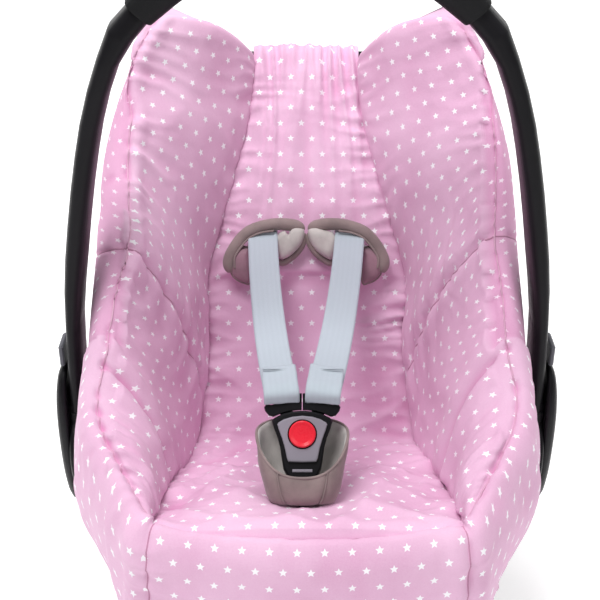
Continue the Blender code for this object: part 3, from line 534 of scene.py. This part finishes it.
def rim_cover():
    """The padded rim up both sides and round the front, in star cloth, with its seams and corded edges."""
    keys = rim_keys()
    count = len(keys)
    # Even steps along the path, through the key outlines.
    flat = keys.reshape(count, -1)
    padded = np.vstack([2 * flat[0] - flat[1], flat, 2 * flat[-1] - flat[-2]])
    dense, where = [], []
    for i in range(count - 1):
        for k in range(8):
            dense.append(between(*padded[i : i + 4], k / 8))
            where.append(i + k / 8)
    dense.append(flat[-1])
    where.append(count - 1.0)
    dense = np.array(dense).reshape(len(dense), -1, 3)
    where = np.array(where)
    length = run_along(dense[:, 8])
    stations, n_in, n_out = RIM_STATIONS, RIM_INSIDE, RIM_OUTSIDE
    want = np.linspace(0, length[-1], stations)
    total = length[-1]
    # Places along the path: each side's middle seam, soft thigh fold and corner seam.
    spots = lambda right, left: [float(np.interp(key, where, length)) for key in (right, count - 1 - left)]
    mids, folds, corners = spots(*MID_SEAMS), spots(*THIGH_FOLDS), spots(*CORNER_SEAMS)
    rings, amounts, runs = [], [], []
    for i, v in enumerate(want):
        controls = np.array([[np.interp(v, length, dense[:, m, a]) for a in range(3)]
                             for m in range(dense.shape[1])])
        a, la = spline(controls[:8], n_in)
        b, lb = spline(controls[7:15], n_out + 1)
        b, lb = b[1:], lb[1:]
        hidden = controls[15:]
        ring = np.vstack([a, b, hidden])
        across = np.concatenate([la, la[-1] + lb, la[-1] + lb[-1] + 0.01 * np.arange(1, len(hidden) + 1)])
        ridge = la[-1]
        in_front = corners[0] < v < corners[1]
        side = 1 if v < total / 2 else -1
        near_end = min(v, total - v)
        from_mid = min(abs(v - m) for m in mids)
        from_fold = min(abs(v - m) for m in folds)
        from_corner = min(abs(v - m) for m in corners)
        seed = 3.0 if side > 0 else 11.0
        inner_here = smooth(ridge, 0.02, 0.06)
        for j, c in enumerate(across):
            c = float(c)
            p = ring[j]
            inside = j < n_in
            runs.append(c)
            if j >= n_in + n_out:
                amounts.append(0.0)
                continue
            d_ridge = abs(c - ridge)
            hemward = across[n_in + n_out - 1] - c
            lift = 0.0013 * noise3(p, 0.060, seed) + 0.0005 * noise3(p, 0.020, seed)
            calm = 0.22 if in_front else 1.0
            strength = calm * (0.0046 if side < 0 else 0.0032)
            strength *= math.exp(-d_ridge / (0.034 if inside else 0.024))
            lift += strength * creases(v, c, 0.015, 0.06, seed + (0 if inside else 9))
            if inside:
                lift += 0.0034 * fade(c, 0.024) * creases(v, c, 0.014, 0.05, seed + 2) * inner_here
                lift += 0.0034 * fade(from_mid, 0.024) * creases(c, v, 0.014, 0.05, seed + 4)
                lift += 0.0010 * creases(c + 0.6 * v, v - 0.6 * c, 0.060, 0.11, seed + 5) * inner_here
            else:
                lift += 0.0040 * fade(hemward, 0.040) * creases(v, c, 0.022, 0.08, seed + 6)
                lift += 0.0026 * calm * smooth(c - ridge, 0.01, 0.05) * creases(v, c, 0.045, 0.15, seed + 7)
                lift += 0.0022 * fade(from_corner, 0.018) * creases(c, v, 0.016, 0.06, seed + 8)
            # Seams: a narrow valley with the padding standing up beside it.
            lift -= valley(d_ridge, 0.0044, 0.0022, 0.0021, 0.008, 0.006)
            lift -= valley(from_mid, 0.0036, 0.0022, 0.0022, 0.009, 0.007) * smooth(c, 0.0, 0.012)
            if inside:
                lift -= (valley(from_fold, 0.0052, 0.0042, 0.0034, 0.015, 0.010)
                         * inner_here * smooth(c, 0.0, 0.012))
            else:
                lift -= (valley(from_corner, 0.0030, 0.0020, 0.0018, 0.008, 0.006)
                         * smooth(c - ridge, 0.0, 0.006))
            if abs(p[0]) > ARM_SIDE and not in_front:
                # Pulled flat where the handle's arms pass, and flattest behind them.
                ahead = p[1] < -0.03 or p[2] < 0.06
                lift = min(lift, ARM_FOLD) if ahead else min(lift, 0.0) - ARM_TUCK
            lift *= smooth(j, 0, 3) * smooth(near_end, 0.0, 0.012)
            amounts.append(lift * (0.35 + 0.65 * inner_here if inside else 1.0))
        # The head ends close like a cushion.
        if near_end < 0.016:
            shrink = 1 - math.sqrt(max(0.0, 1 - (1 - (near_end + 0.001) / 0.017) ** 2))
            centre = (ring[0] + ring[n_in] + ring[n_in + 14]) / 3
            weight = np.zeros(len(ring))
            weight[: n_in + 20] = 1.0
            weight[n_in + 8 : n_in + 20] = np.linspace(1, 0, 12)
            weight[-3:] = 0.6
            ring = centre + (ring - centre) * (1 - 0.5 * shrink * weight)[:, None]
        rings.append(list(ring))
    size = len(rings[0])
    obj = skin("cover_rim", rings)
    # The print is cut at the seams, so each face takes its place from one panel only.
    layer = obj.data.uv_layers.new(name="cloth").data
    lines = np.array(rings)
    inner_run, outer_run = run_along(lines[:, n_in // 2]), run_along(lines[:, n_in + n_out // 2])
    for polygon in obj.data.polygons:
        corners_at = [(obj.data.loops[k].vertex_index, k) for k in polygon.loop_indices]
        row, j = min(i // size for i, _ in corners_at), min(i % size for i, _ in corners_at)
        front, within = corners[0] < want[row] < corners[1], j < n_in - 1
        run = want if front else inner_run if within else outer_run
        for i, k in corners_at:
            layer[k].uv = cloth_place(run[i // size], runs[i], within, front)
    displace(obj, amounts)
    obj.data.materials.append(STAR_CLOTH)
    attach(obj, "seat")
    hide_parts("cover_front_skirt", *(f"cover_{part}_{word}" for part in ("wing", "side", "skirt")
                                            for word in ("left", "right")))

    def cord_on(name, places, lift, samples, radius, material):
        """A fine cord that follows the skin through (station, point) places."""
        line = []
        for row, j in places:
            v = obj.data.vertices[row * size + j]
            line.append(np.array(v.co - HUB + v.normal * lift))
        cord = tube(name, spline(line, samples)[0], radius, material, closed=False, sides=6)
        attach(cord, "seat")

    # Stitched seams across the sides at mid height and down the front corners, as fine sunk cords in a dark
    # pink that paints the shade down in the seams.
    stop = n_in + n_out - 3
    for name, at, first in (("mid_right", mids[0], 3), ("mid_left", mids[1], 3),
                            ("corner_right", corners[0], n_in), ("corner_left", corners[1], n_in)):
        row = int(np.argmin(np.abs(want - at)))
        cord_on(f"seam_{name}", [(row, j) for j in range(first, stop)], 0.0001, 90, SEAM_CORD, SEAM_SHADE)
    first, last = (int(np.argmin(np.abs(want - at))) for at in corners)
    ridge_at = n_in - 1
    cord_on("seam_front", [(row, ridge_at) for row in range(first, last + 1)], 0.0002, 140, FRONT_CORD, SEAM_SHADE)
    # A fine corded edge in the ridge seam, a real cord in a darker pink that paints the seam's shade.
    for name, start, end in (("right", 8, int(stations * 0.4)), ("left", int(stations * 0.6), stations - 8)):
        places = [(row, ridge_at) for row in range(start, end)]
        cord_on(f"ridge_cord_{name}", places, 0.0003, 260, RIDGE_CORD, PIPING_SHADE)


TOP_ROLL = [(0.2380, 0.2270, 0.0030), (0.2480, 0.2450, 0.0030), (0.2590, 0.2650, 0.0030),
            (0.2622, 0.2735, 0.0030), (0.2590, 0.2792, 0.0032), (0.2510, 0.2806, 0.0036),
            (0.2410, 0.2798, 0.0045), (0.2340, 0.2770, 0.0080)]


def middle_cover():
    """The cover's middle panel: over the top edge, down the backrest, round the bend and along the seat."""
    path = []
    for y, z, thick in TOP_ROLL:
        path.append((0.0500, y, z, thick))
    for angle in np.arange(-6.0, -109.9, -2.06):
        _, y, z = fan(0, angle, floor_depth(angle))
        path.append((curve(CREASE_X, angle) + 0.0040, y, z, PAD - 0.001))
    path = np.array(path)
    line, _ = spline(np.stack([path[:, 1], path[:, 2], path[:, 0]], axis=1), 330)
    rough, run = run_along(path[:, 1:3]), run_along(line[:, :2])
    run = run * rough[-1] / run[-1]
    thick = np.interp(run, rough, path[:, 3])
    top = rough[7]
    columns = 71
    rings, uvs, amounts = [], [], []
    total = run[-1]
    for i in range(len(line)):
        y, z, half = line[i]
        along = line[min(i + 1, len(line) - 1)][:2] - line[max(i - 1, 0)][:2]
        along /= np.linalg.norm(along)
        out = np.array((0.0, along[1], -along[0]))
        v = run[i] - top
        front = []
        foot = math.sqrt(max(0.0, 1 - (1 - min(1.0, (total - run[i] + 0.0008) / 0.005)) ** 2))
        for j in range(columns):
            c = -1 + 2 * j / (columns - 1)
            x = half * c
            edge = math.sqrt(max(0.0, 1 - max(0.0, (abs(c) - 0.88) / 0.12) ** 2))
            swell = 0.0045 * smooth(v, 0.0, 0.06)
            sink = (0.006 * (1 - edge) + 0.0035 * (1 - foot)) * smooth(v, -0.01, 0.02)
            p = np.array((x, y, z)) + out * (swell * (1 - c * c) - sink)
            front.append(p)
            uvs.append((x + 0.3, -v))
            amounts.append(middle_field(p, x, v, half, total - top))
        hold = 1.0 if v < 0 else 0.98
        back = [np.array((half * hold * c, y, z)) - out * thick[i] for c in (1, 0.5, 0, -0.5, -1)]
        rings.append(front + back)
        uvs += [(half + 0.3, -v), (0.32, -v), (0.3, -v), (0.28, -v), (-half + 0.3, -v)]
        amounts += [0.0] * 5
    size = columns + 5
    obj = skin("cover_middle", rings, [uvs[i * size : (i + 1) * size] for i in range(len(rings))])
    displace(obj, amounts)
    obj.data.materials.append(STAR_CLOTH)
    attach(obj, "seat")
    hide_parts("cover_back", "cover_seat", "cover_head_hem")


FLAP = 0.206


def middle_field(p, x, v, half, total):
    """Pleats that fan down from the gathered top edge, ruches off both seams, a flap edge, and wrinkles."""
    edge = half - abs(x)
    spread = x * (1.0 - 1.3 * max(0.0, min(v, 0.20)))
    pleat = math.exp(-max(0.0, v) / 0.11)
    lift = 0.0058 * pleat * creases(spread, v, 0.0105, 0.16, 1.0)
    lift += 0.0036 * math.exp(-abs(v - 0.11) / 0.09) * creases(spread + 0.1 * v, v, 0.021, 0.14, 3.0)
    lift += 0.0040 * fade(edge, 0.020) * creases(v, x, 0.014, 0.05, 4.0) * smooth(v, 0.01, 0.04)
    lift += 0.0016 * noise3(p, 0.048, 1.0) + 0.0008 * noise3(p, 0.018, 1.0)
    middle = smooth(edge, 0.0, 0.03)
    d = v - FLAP - 0.004 * (abs(x) / 0.08) ** 2
    lift += 0.0040 * math.exp(-((min(d, 0.0) / 0.020) ** 2)) * (1 - smooth(d, -0.0015, 0.0020)) * middle
    lift -= 0.0022 * bell(d, 0.009, 0.008) * middle
    lower = bell(v, 0.245, 0.035) * smooth(x, 0.030, 0.075)
    lift += 0.0052 * lower * creases(v, x, 0.013, 0.06, 6.0)
    bend = bell(v, 0.385, 0.055)
    lift += 0.0060 * bend * creases(x * 0.6 + v, v * 0.4 - x, 0.034, 0.08, 7.0)
    lift += 0.0036 * smooth(v, 0.40, 0.47) * creases(x + 0.5 * v, v, 0.040, 0.10, 8.0)
    lift += 0.0034 * smooth(v, 0.25, 0.30) * creases(v - 0.4 * x, x, 0.045, 0.12, 12.0)
    lift += 0.0020 * math.exp(-(total - v) / 0.022) * creases(x, v, 0.016, 0.08, 9.0)
    off_middle = abs(x + 0.004)
    lift += 0.0065 * bell(off_middle, 0.058, 0.026) * smooth(v, 0.43, 0.49) * smooth(total - v, 0.012, 0.05)
    # The cup's foot presses a hollow in the seat.
    press = math.exp(-((x + 0.004) / 0.032) ** 2 - ((p[1] + 0.130) / 0.022) ** 2)
    lift -= 0.0060 * press
    return lift * smooth(edge, 0.0, 0.006) * smooth(v, -0.03, -0.01) * smooth(total - v, 0.0, 0.010)


# ---------------------------------------------------------------- harness


def buckle_frame(right=0.0, up=0.0, out=0.0):
    """The tilted buckle's own axes, moved to a place in it."""
    tilt = Matrix.Rotation(-BUCKLE_TILT, 4, "X")
    flip = Matrix(((1, 0, 0, 0), (0, -1, 0, 0), (0, 0, 1, 0), (0, 0, 0, 1)))
    return Matrix.Translation(BUCKLE) @ tilt @ flip @ Matrix.Translation((right, out, up))


def at_buckle(right, up, out):
    """A point by its place in the tilted buckle: across, up along it, and out from it."""
    return np.array(buckle_frame(right, up, out).translation)


def ribbon(name, centres, outs, width, thick, material, steps=80, columns=9, edge=0.0004):
    """A flat strap with a rolled selvedge along each side."""
    line, lengths = spline(centres, steps)
    out_line, _ = spline([np.array(o) for o in outs], steps)
    rings, uvs = [], []
    for i in range(steps):
        p = Vector(line[i])
        along = Vector(line[min(i + 1, steps - 1)] - line[max(i - 1, 0)]).normalized()
        n = Vector(out_line[i]).normalized()
        side = along.cross(n).normalized()
        n = side.cross(along).normalized()
        if n.dot(Vector(out_line[i])) < 0:
            n = -n
        top, bottom, u_top, u_bottom = [], [], [], []
        for j in range(columns):
            c = -1 + 2 * j / (columns - 1)
            t = thick / 2 * (0.55 if abs(c) > 0.99 else 1.0) + edge * bell(abs(c), 0.88, 0.06)
            offset = side * (width / 2 * c)
            top.append(np.array(p + offset + n * t))
            bottom.append(np.array(p + offset - n * t))
            u_top.append((width / 2 * c, lengths[i]))
            u_bottom.append((width / 2 * c, lengths[i]))
        rings.append(top + bottom[::-1])
        uvs.append(u_top + u_bottom[::-1])
    obj = skin(name, rings, uvs)
    obj.data.materials.append(material)
    return obj


def strap(word, side):
    """Shoulder webbing with its doubled, stitched end at the tongue."""
    top = on_back(side * 0.0405, 0.1690, 0.0225)
    end = at_buckle(side * 0.0165, 0.0330, -0.0060)
    tuck = at_buckle(side * 0.0160, 0.0248, -0.0085)
    centres, outs = [on_back(side * 0.0405, 0.1630, 0.0130)], [(0, -0.6, 0.8)]
    for i in range(9):
        t = i / 8
        sag = 4 * t * (1 - t)
        centres.append(top * (1 - t) + end * t + np.array((side * 0.003 * sag, 0.004 * sag, -0.008 * sag)))
        outs.append((side * 0.10 * (1 - t), -0.72, 0.69))
    centres.append(tuck)
    outs.append((0, -0.6, 0.8))
    web = ribbon(f"strap_{word}", centres, outs, 0.0275, 0.0016, WEB, 130, 15)
    body = f"tongue_{word}"
    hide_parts(f"shoulder_strap_{word}")
    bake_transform(web)
    # The loop round the tongue's bar: a second layer with a soft, rounded foot, sewn down across its top.
    along = end - top
    line = [end - along * f for f in (0.135, 0.08, 0.03)] + [end * 0.75 + tuck * 0.25, tuck]
    lift = [np.array((0, -0.0013, 0.0013)) * k for k in (0.9, 1.6, 2.2, 1.8, 0.4)]
    loop = ribbon(f"strap_loop_{word}", [p + d for p, d in zip(line, lift)],
                  [(0, -0.72, 0.69)] * 4 + [(0, -0.5, 0.85)], 0.0280, 0.0026, WEB, 40, 15)
    displace(loop, [0.0005 * noise3(v.co, 0.010, 8.0 + side) for v in loop.data.vertices])
    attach(loop, body)
    for row, f in enumerate((0.120, 0.112)):
        at = end - along * f + np.array((0, -0.0027, 0.0029))
        path = [at + np.array((0.0255 * (k / 8 - 0.5), 0, 0)) for k in range(9)]
        outs = [(0, -0.72, 0.69)] * 9
        thread = ribbon(f"stitch_{word}_{row}", path, outs, 0.0008, 0.0005, THREAD, 30, 3, 0.0)
        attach(thread, body)


def pillow(name, outline, centre, out, thick, material, rings_n=9, wobble=0.0008, seed=1.0):
    """A stuffed flat shape: an outline in space, crowned on both faces, with a thin seam edge."""
    outline = [np.array(p) for p in outline]
    centre, out = np.array(centre), np.array(out, float)
    out /= np.linalg.norm(out)
    n = len(outline)
    points, faces = [], []
    layers = []
    for face_side in (1, -1):
        for k in range(rings_n):
            f = 1 - k / rings_n
            height = thick / 2 * math.sqrt(max(0.0, 1 - f**3.2))
            if k == 0 and face_side == -1:
                layers.append(layers[0])
                continue
            start = len(points)
            for p in outline:
                q = centre + (p - centre) * f
                bumpy = wobble * noise3(q, 0.012, seed) * (1 - f**4)
                points.append(q + out * face_side * (height + bumpy))
            layers.append(start)
        tip = len(points)
        points.append(centre + out * face_side * thick / 2)
        run = layers[-rings_n:]
        for a, b in zip(run, run[1:]):
            for j in range(n):
                k = (j + 1) % n
                quad = (a + j, a + k, b + k, b + j)
                faces.append(quad if face_side > 0 else quad[::-1])
        for j in range(n):
            tri = (run[-1] + j, run[-1] + (j + 1) % n, tip)
            faces.append(tri if face_side > 0 else tri[::-1])
    obj = mesh_object(name, points, faces, [(0.0, 0.0)] * len(points))
    obj.data.materials.append(material)
    return obj


def tube(name, path, radius, material, closed=True, sides=8):
    """Piping along a path."""
    pts = [Vector(p) for p in path]
    n = len(pts)
    rings = []
    for i in range(n):
        a = pts[(i - 1) % n] if closed else pts[max(i - 1, 0)]
        b = pts[(i + 1) % n] if closed else pts[min(i + 1, n - 1)]
        along = (b - a).normalized()
        side = along.cross(Vector((0.31, 0.42, 0.85))).normalized()
        other = side.cross(along)
        turns = [TAU * k / sides for k in range(sides)]
        rings.append([pts[i] + (side * math.cos(a) + other * math.sin(a)) * radius for a in turns])
    points = [tuple(p) for ring in rings for p in ring]
    faces = []
    for i in range(n if closed else n - 1):
        for k in range(sides):
            m = (k + 1) % sides
            j = (i + 1) % n
            faces.append((i * sides + k, i * sides + m, j * sides + m, j * sides + k))
    if not closed:
        faces.append(tuple(reversed(range(sides))))
        faces.append(tuple(range((n - 1) * sides, n * sides)))
    obj = mesh_object(name, points, faces)
    obj.data.materials.append(material)
    return obj


PAD_OUT = Vector((0, -0.883, 0.47))
PAD_DOWN = Vector((0, -0.47, -0.883))


def on_back(x, down, out):
    """A point by its place on the backrest: across, down from the head end, and out from the cover."""
    return np.array(Vector((x, 0.230, 0.278)) + PAD_DOWN * down + PAD_OUT * out)


def band(name, centres, width, thick, material, steps=70):
    """A padded strip: a flattened round section swept along a line on the backrest, tapering at both ends."""
    line, _ = spline(centres, steps)
    rings = []
    for i in range(steps):
        along = Vector(line[min(i + 1, steps - 1)] - line[max(i - 1, 0)]).normalized()
        side = along.cross(PAD_OUT).normalized()
        end = math.sqrt(max(0.02, 1 - (1 - min(1.0, (i + 0.5) / 7, (steps - 0.5 - i) / 7)) ** 2))
        ring = []
        for k in range(14):
            a = TAU * k / 14
            ring.append(np.array(Vector(line[i]) + side * (math.cos(a) * width / 2 * end)
                                 + PAD_OUT * (math.sin(a) * thick / 2 * end)))
        rings.append(ring)
    obj = skin(name, rings)
    obj.data.materials.append(material)
    return obj


def shoulder_pad(word, side):
    """The hood over the strap: a taupe rim with piping, open below to show a cream lobe and a taupe lobe
    coloured mauve as painted shade.
    """
    def spread(rows, out):
        return [on_back(side * x / 1000, down / 1000, out) for x, down in rows]

    def keep(obj):
        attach(obj, "seat")

    arch = spread([(71.0, 204), (72.0, 192), (65.0, 178), (55.0, 167), (43.0, 161.5), (30.0, 159.0),
                   (18.0, 159.0), (8.0, 161.0), (2.5, 165.0)], 0.0215)
    hood = band(f"pad_hood_{word}", arch, 0.0115, 0.0105, TAUPE)
    keep(hood)
    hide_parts(f"shoulder_pad_{word}")
    lip = spread([(66.5, 200), (66.5, 190), (60.5, 180), (52.5, 171.5), (42.0, 166.8), (30.0, 165.0)], 0.0255)
    keep(tube(f"pad_lip_{word}", spline(lip, 60)[0], 0.0010, TAUPE, closed=False))
    under = spread([(2.0, 167), (3.0, 176), (8.0, 184.5), (14.5, 190.5), (22.0, 195.0), (26.5, 192.0)],
                   0.0190)
    rim = band(f"pad_under_{word}", under, 0.0062, 0.0085, TAUPE, 50)
    keep(rim)
    mauve = spread([(53.0, 181), (60.0, 180), (67.0, 185), (70.5, 194), (70.0, 204), (65.5, 210),
                    (58.0, 213.5), (52.5, 212)], 0.0200)
    lobe = spline(mauve + [mauve[0]], 56)[0][:-1]
    outer = pillow(f"pad_lobe_{word}", lobe, on_back(side * 0.061, 0.196, 0.0200), PAD_OUT, 0.0125, TAUPE_IN_SHADE,
                   10, 0.0010, 2.0 + side)
    keep(outer)
    keep(tube(f"pad_piping_{word}", lobe, 0.0011, TAUPE))
    notch = 168.5 if side < 0 else 164.5
    cream = spread([(28.0, 172), (25.0, 167), (20.0, 165), (16.8, notch), (13.0, 163), (7.5, 161.5),
                    (2.4, 163.5), (1.6, 168.5), (4.0, 176), (9.0, 183), (15.5, 188.5), (22.5, 191.5),
                    (26.5, 187), (28.0, 180)], 0.0240)
    lobe = spline(cream + [cream[0]], 64)[0][:-1]
    lining = pillow(f"pad_lining_{word}", lobe, on_back(side * 0.0165, 0.1765, 0.0240), PAD_OUT, 0.0110,
                    CREAM, 10, 0.0009, 5.0 + side)
    keep(lining)


CUP_FOOT = -0.0550
CUP_OUT = [(0.0, 0.0190, 0.008, -0.011), (0.02, 0.0230, 0.0115, -0.011), (0.06, 0.0255, 0.0150, -0.011),
           (0.15, 0.0280, 0.0190, -0.012), (0.30, 0.0308, 0.0222, -0.0135), (0.48, 0.0330, 0.0238, -0.014),
           (0.65, 0.0346, 0.0245, -0.014), (0.82, 0.0358, 0.0247, -0.014), (0.94, 0.0364, 0.0246, -0.014),
           (0.985, 0.0362, 0.0243, -0.014)]
CUP_IN = [(1.0, 0.0354, 0.0234, -0.014), (0.985, 0.0344, 0.0224, -0.014), (0.94, 0.0336, 0.0217, -0.014),
          (0.82, 0.0328, 0.0215, -0.014), (0.65, 0.0318, 0.0213, -0.014), (0.48, 0.0302, 0.0205, -0.0138),
          (0.32, 0.0280, 0.0190, -0.0135), (0.20, 0.0230, 0.0140, -0.011), (0.17, 0.0150, 0.0080, -0.011)]


def cup_ring(row, grow=0.0):
    t, half, deep, mid = row
    ring = []
    for i in range(96):
        a = TAU * i / 96
        x = math.copysign(abs(math.cos(a)) ** 0.8, math.cos(a))
        y = math.copysign(abs(math.sin(a)) ** 0.8, math.sin(a))
        rim = 0.001 - 0.035 * max(0.0, y) ** 1.6 + 0.013 * max(0.0, -y)
        z = CUP_FOOT + (rim - CUP_FOOT) * t
        ring.append(at_buckle(x * (half + grow), z, mid + y * (deep + grow)))
    return ring


def crotch_cup():
    """The cup-shaped pad round the buckle: taupe outside with piping round its rim, cream inside."""
    n = 96
    rings = [cup_ring(row) for row in CUP_OUT + CUP_IN]
    points = [tuple(p) for ring in rings for p in ring]
    faces = []
    for i in range(len(rings) - 1):
        for j in range(n):
            k = (j + 1) % n
            faces.append((i * n + j, i * n + k, (i + 1) * n + k, (i + 1) * n + j))
    faces.append(tuple(reversed(range(n))))
    faces.append(tuple(range((len(rings) - 1) * n, len(rings) * n)))
    obj = mesh_object("crotch_cup", points, faces, [(0.0, 0.0)] * len(points))
    obj.data.materials.append(TAUPE)
    obj.data.materials.append(CREAM)
    for index, polygon in enumerate(obj.data.polygons):
        if len(CUP_OUT) * n <= index < (len(rings) - 1) * n or index == len(obj.data.polygons) - 1:
            polygon.material_index = 1
    # Seams down the two front corners, and a little unevenness in the stuffing.
    lifts = []
    for v_index, v in enumerate(obj.data.vertices):
        row, j = divmod(v_index, n)
        d = min(abs(j - 17), abs(j - 31))
        seam = 0.0011 * bell(d, 0.0, 0.9) if row < len(CUP_OUT) else 0.0
        lifts.append(0.0011 * noise3(v.co, 0.014, 4.0) - seam)
    displace(obj, lifts)
    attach(obj, "seat")
    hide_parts("crotch_pad")
    pipe = tube("cup_piping", cup_ring((1.0, 0.0362, 0.0241, -0.014)), 0.0012, TAUPE)
    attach(pipe, "seat")
    for word, j in (("left", 31), ("right", 17)):
        seam = [cup_ring(row, 0.0003)[j] for row in CUP_OUT[2:]]
        thread = tube(f"cup_seam_{word}", spline(seam, 40)[0], 0.0005, TAUPE, closed=False, sides=6)
        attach(thread, "seat")


def short_web(name, centres, outs, node):
    obj = ribbon(name, centres, outs, 0.025, 0.0016, WEB, 30, 11)
    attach(obj, "seat")
    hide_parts(node)


def button_spring():
    """The coil under the button, drawn at one length, though the real one shortens as the button goes in."""
    out = buckle_frame().to_3x3() @ Vector((0, 1, 0))
    turn = Vector((0, 0, 1)).rotation_difference(out).to_matrix()
    path = []
    for i in range(113):
        a = TAU * i / 32
        place = Vector((0.0075 * math.cos(a), 0.0075 * math.sin(a), -0.0160 + 0.0052 * i / 112))
        path.append(turn @ place + BUCKLE)
    coil = tube("button_spring", path, 0.0005, STEEL, closed=False)
    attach(coil, "seat")
    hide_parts("buckle_spring")
    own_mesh(coil)


# ---------------------------------------------------------------- build

button_spring()
rim_cover()
middle_cover()
for word, side in (("left", -1), ("right", 1)):
    strap(word, side)
    shoulder_pad(word, side)
crotch_cup()
out = (0, -0.79, 0.61)
line = [at_buckle(0, up, -0.0140) for up in (-0.0368, -0.0400, -0.0430, -0.0452)]
short_web("web_crotch", line, [out] * 4, "crotch_strap")
line = [(0, -0.2180, -0.0455 - 0.012 * i) for i in range(4)]
short_web("web_adjuster", line, [(0, -1, 0)] * 4, "adjuster_strap")

bar = [at_buckle(x, -0.0283, -0.0052) for x in (-0.0078, -0.004, 0.0, 0.004, 0.0078)]
slot = ribbon("buckle_slot_bar", bar, [(0, -0.79, 0.61)] * 5, 0.0024, 0.0008, GREY, 24, 5, 0.0)
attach(slot, "seat")

for node, material in (("handle", ROUND_BLACK), ("buckle_housing", BLACK), ("adjuster_housing", BLACK)):
    paint(node, material)
for stem, material in (("hub_axle", BLACK), ("hub_cap", ROUND_BLACK), ("tongue", BLACK), ("rail", SHELL),
                       ("belt_guide", SHELL), ("handle_release", HIGHLIT_BLACK), ("ratchet", STEEL),
                       ("hub_screw", STEEL), ("foot_front", GRIP), ("foot_rear", GRIP)):
    for word in ("left", "right"):
        paint(f"{stem}_{word}", material)
for node, material in (("shell", SHELL), ("beam_front", SHELL), ("beam_rear", SHELL), ("handle_grip", GRIP),
                       ("buckle_plate", GREY), ("adjuster_lever", GREY), ("buckle_button", RED)):
    paint(node, material)

# ---------------------------------------------------------------- camera, light and floor

scene = bpy.context.scene
camera = bpy.data.cameras.new("camera")
camera.lens = 69.0
camera.sensor_width = 36.0
eye = bpy.data.objects.new("camera", camera)
eye.location = (-0.0058, HUB_Y - 0.828, HUB_Z + 0.623)
eye.rotation_euler = (math.radians(60), 0, 0)
scene.collection.objects.link(eye)
scene.camera = eye


def stage_plane(name, colour):
    mesh = bpy.data.meshes.new(name)
    half, back, rise = 6.0, 3.0, 5.0
    points, faces = [], []
    profile = [(-half, 0.0), (back - 1.0, 0.0)]
    turns = np.linspace(0.15, math.pi / 2, 10)
    profile += [(back - 1.0 + math.sin(a), 1.0 - math.cos(a)) for a in turns]
    profile.append((back, rise))
    for y, z in profile:
        points += [(-half, y, z), (half, y, z)]
    for i in range(len(profile) - 1):
        faces.append((2 * i, 2 * i + 1, 2 * i + 3, 2 * i + 2))
    mesh.from_pydata(points, [], faces)
    for polygon in mesh.polygons:
        polygon.use_smooth = True
    obj = bpy.data.objects.new(name, mesh)
    n = Nodes(name)
    spot = n.noise(n.add("ShaderNodeTexCoord").outputs["Object"], 3.0)
    n.link(n.mix(spot, colour, tuple(c * 0.98 for c in colour)), n.shader.inputs["Base Color"])
    n.set(Roughness=0.9, Emission_Color=(1, 1, 1, 1), Emission_Strength=0.42)
    mesh.materials.append(n.material)
    scene.collection.objects.link(obj)


stage_plane("floor", (0.93, 0.93, 0.93))


def lamp(name, place, target, size, power):
    light = bpy.data.lights.new(name, "AREA")
    light.shape = "DISK"
    light.size = size
    light.energy = power
    obj = bpy.data.objects.new(name, light)
    obj.location = place
    obj.rotation_euler = (Vector(target) - Vector(place)).to_track_quat("-Z", "Y").to_euler()
    scene.collection.objects.link(obj)


lamp("key", (-0.50, -0.45, 2.1), (0, 0, 0.30), 0.8, 26)
lamp("fill", (0.9, -0.9, 1.9), (0, 0, 0.30), 1.0, 5)
lamp("top", (0.0, 0.45, 2.2), (0, 0.1, 0.2), 0.8, 12)
world = bpy.data.worlds.new("studio")
world.use_nodes = True
world.node_tree.nodes["Background"].inputs[0].default_value = (1.0, 1.0, 1.0, 1.0)
world.node_tree.nodes["Background"].inputs[1].default_value = 0.44
scene.world = world
scene.view_settings.view_transform = "Standard"
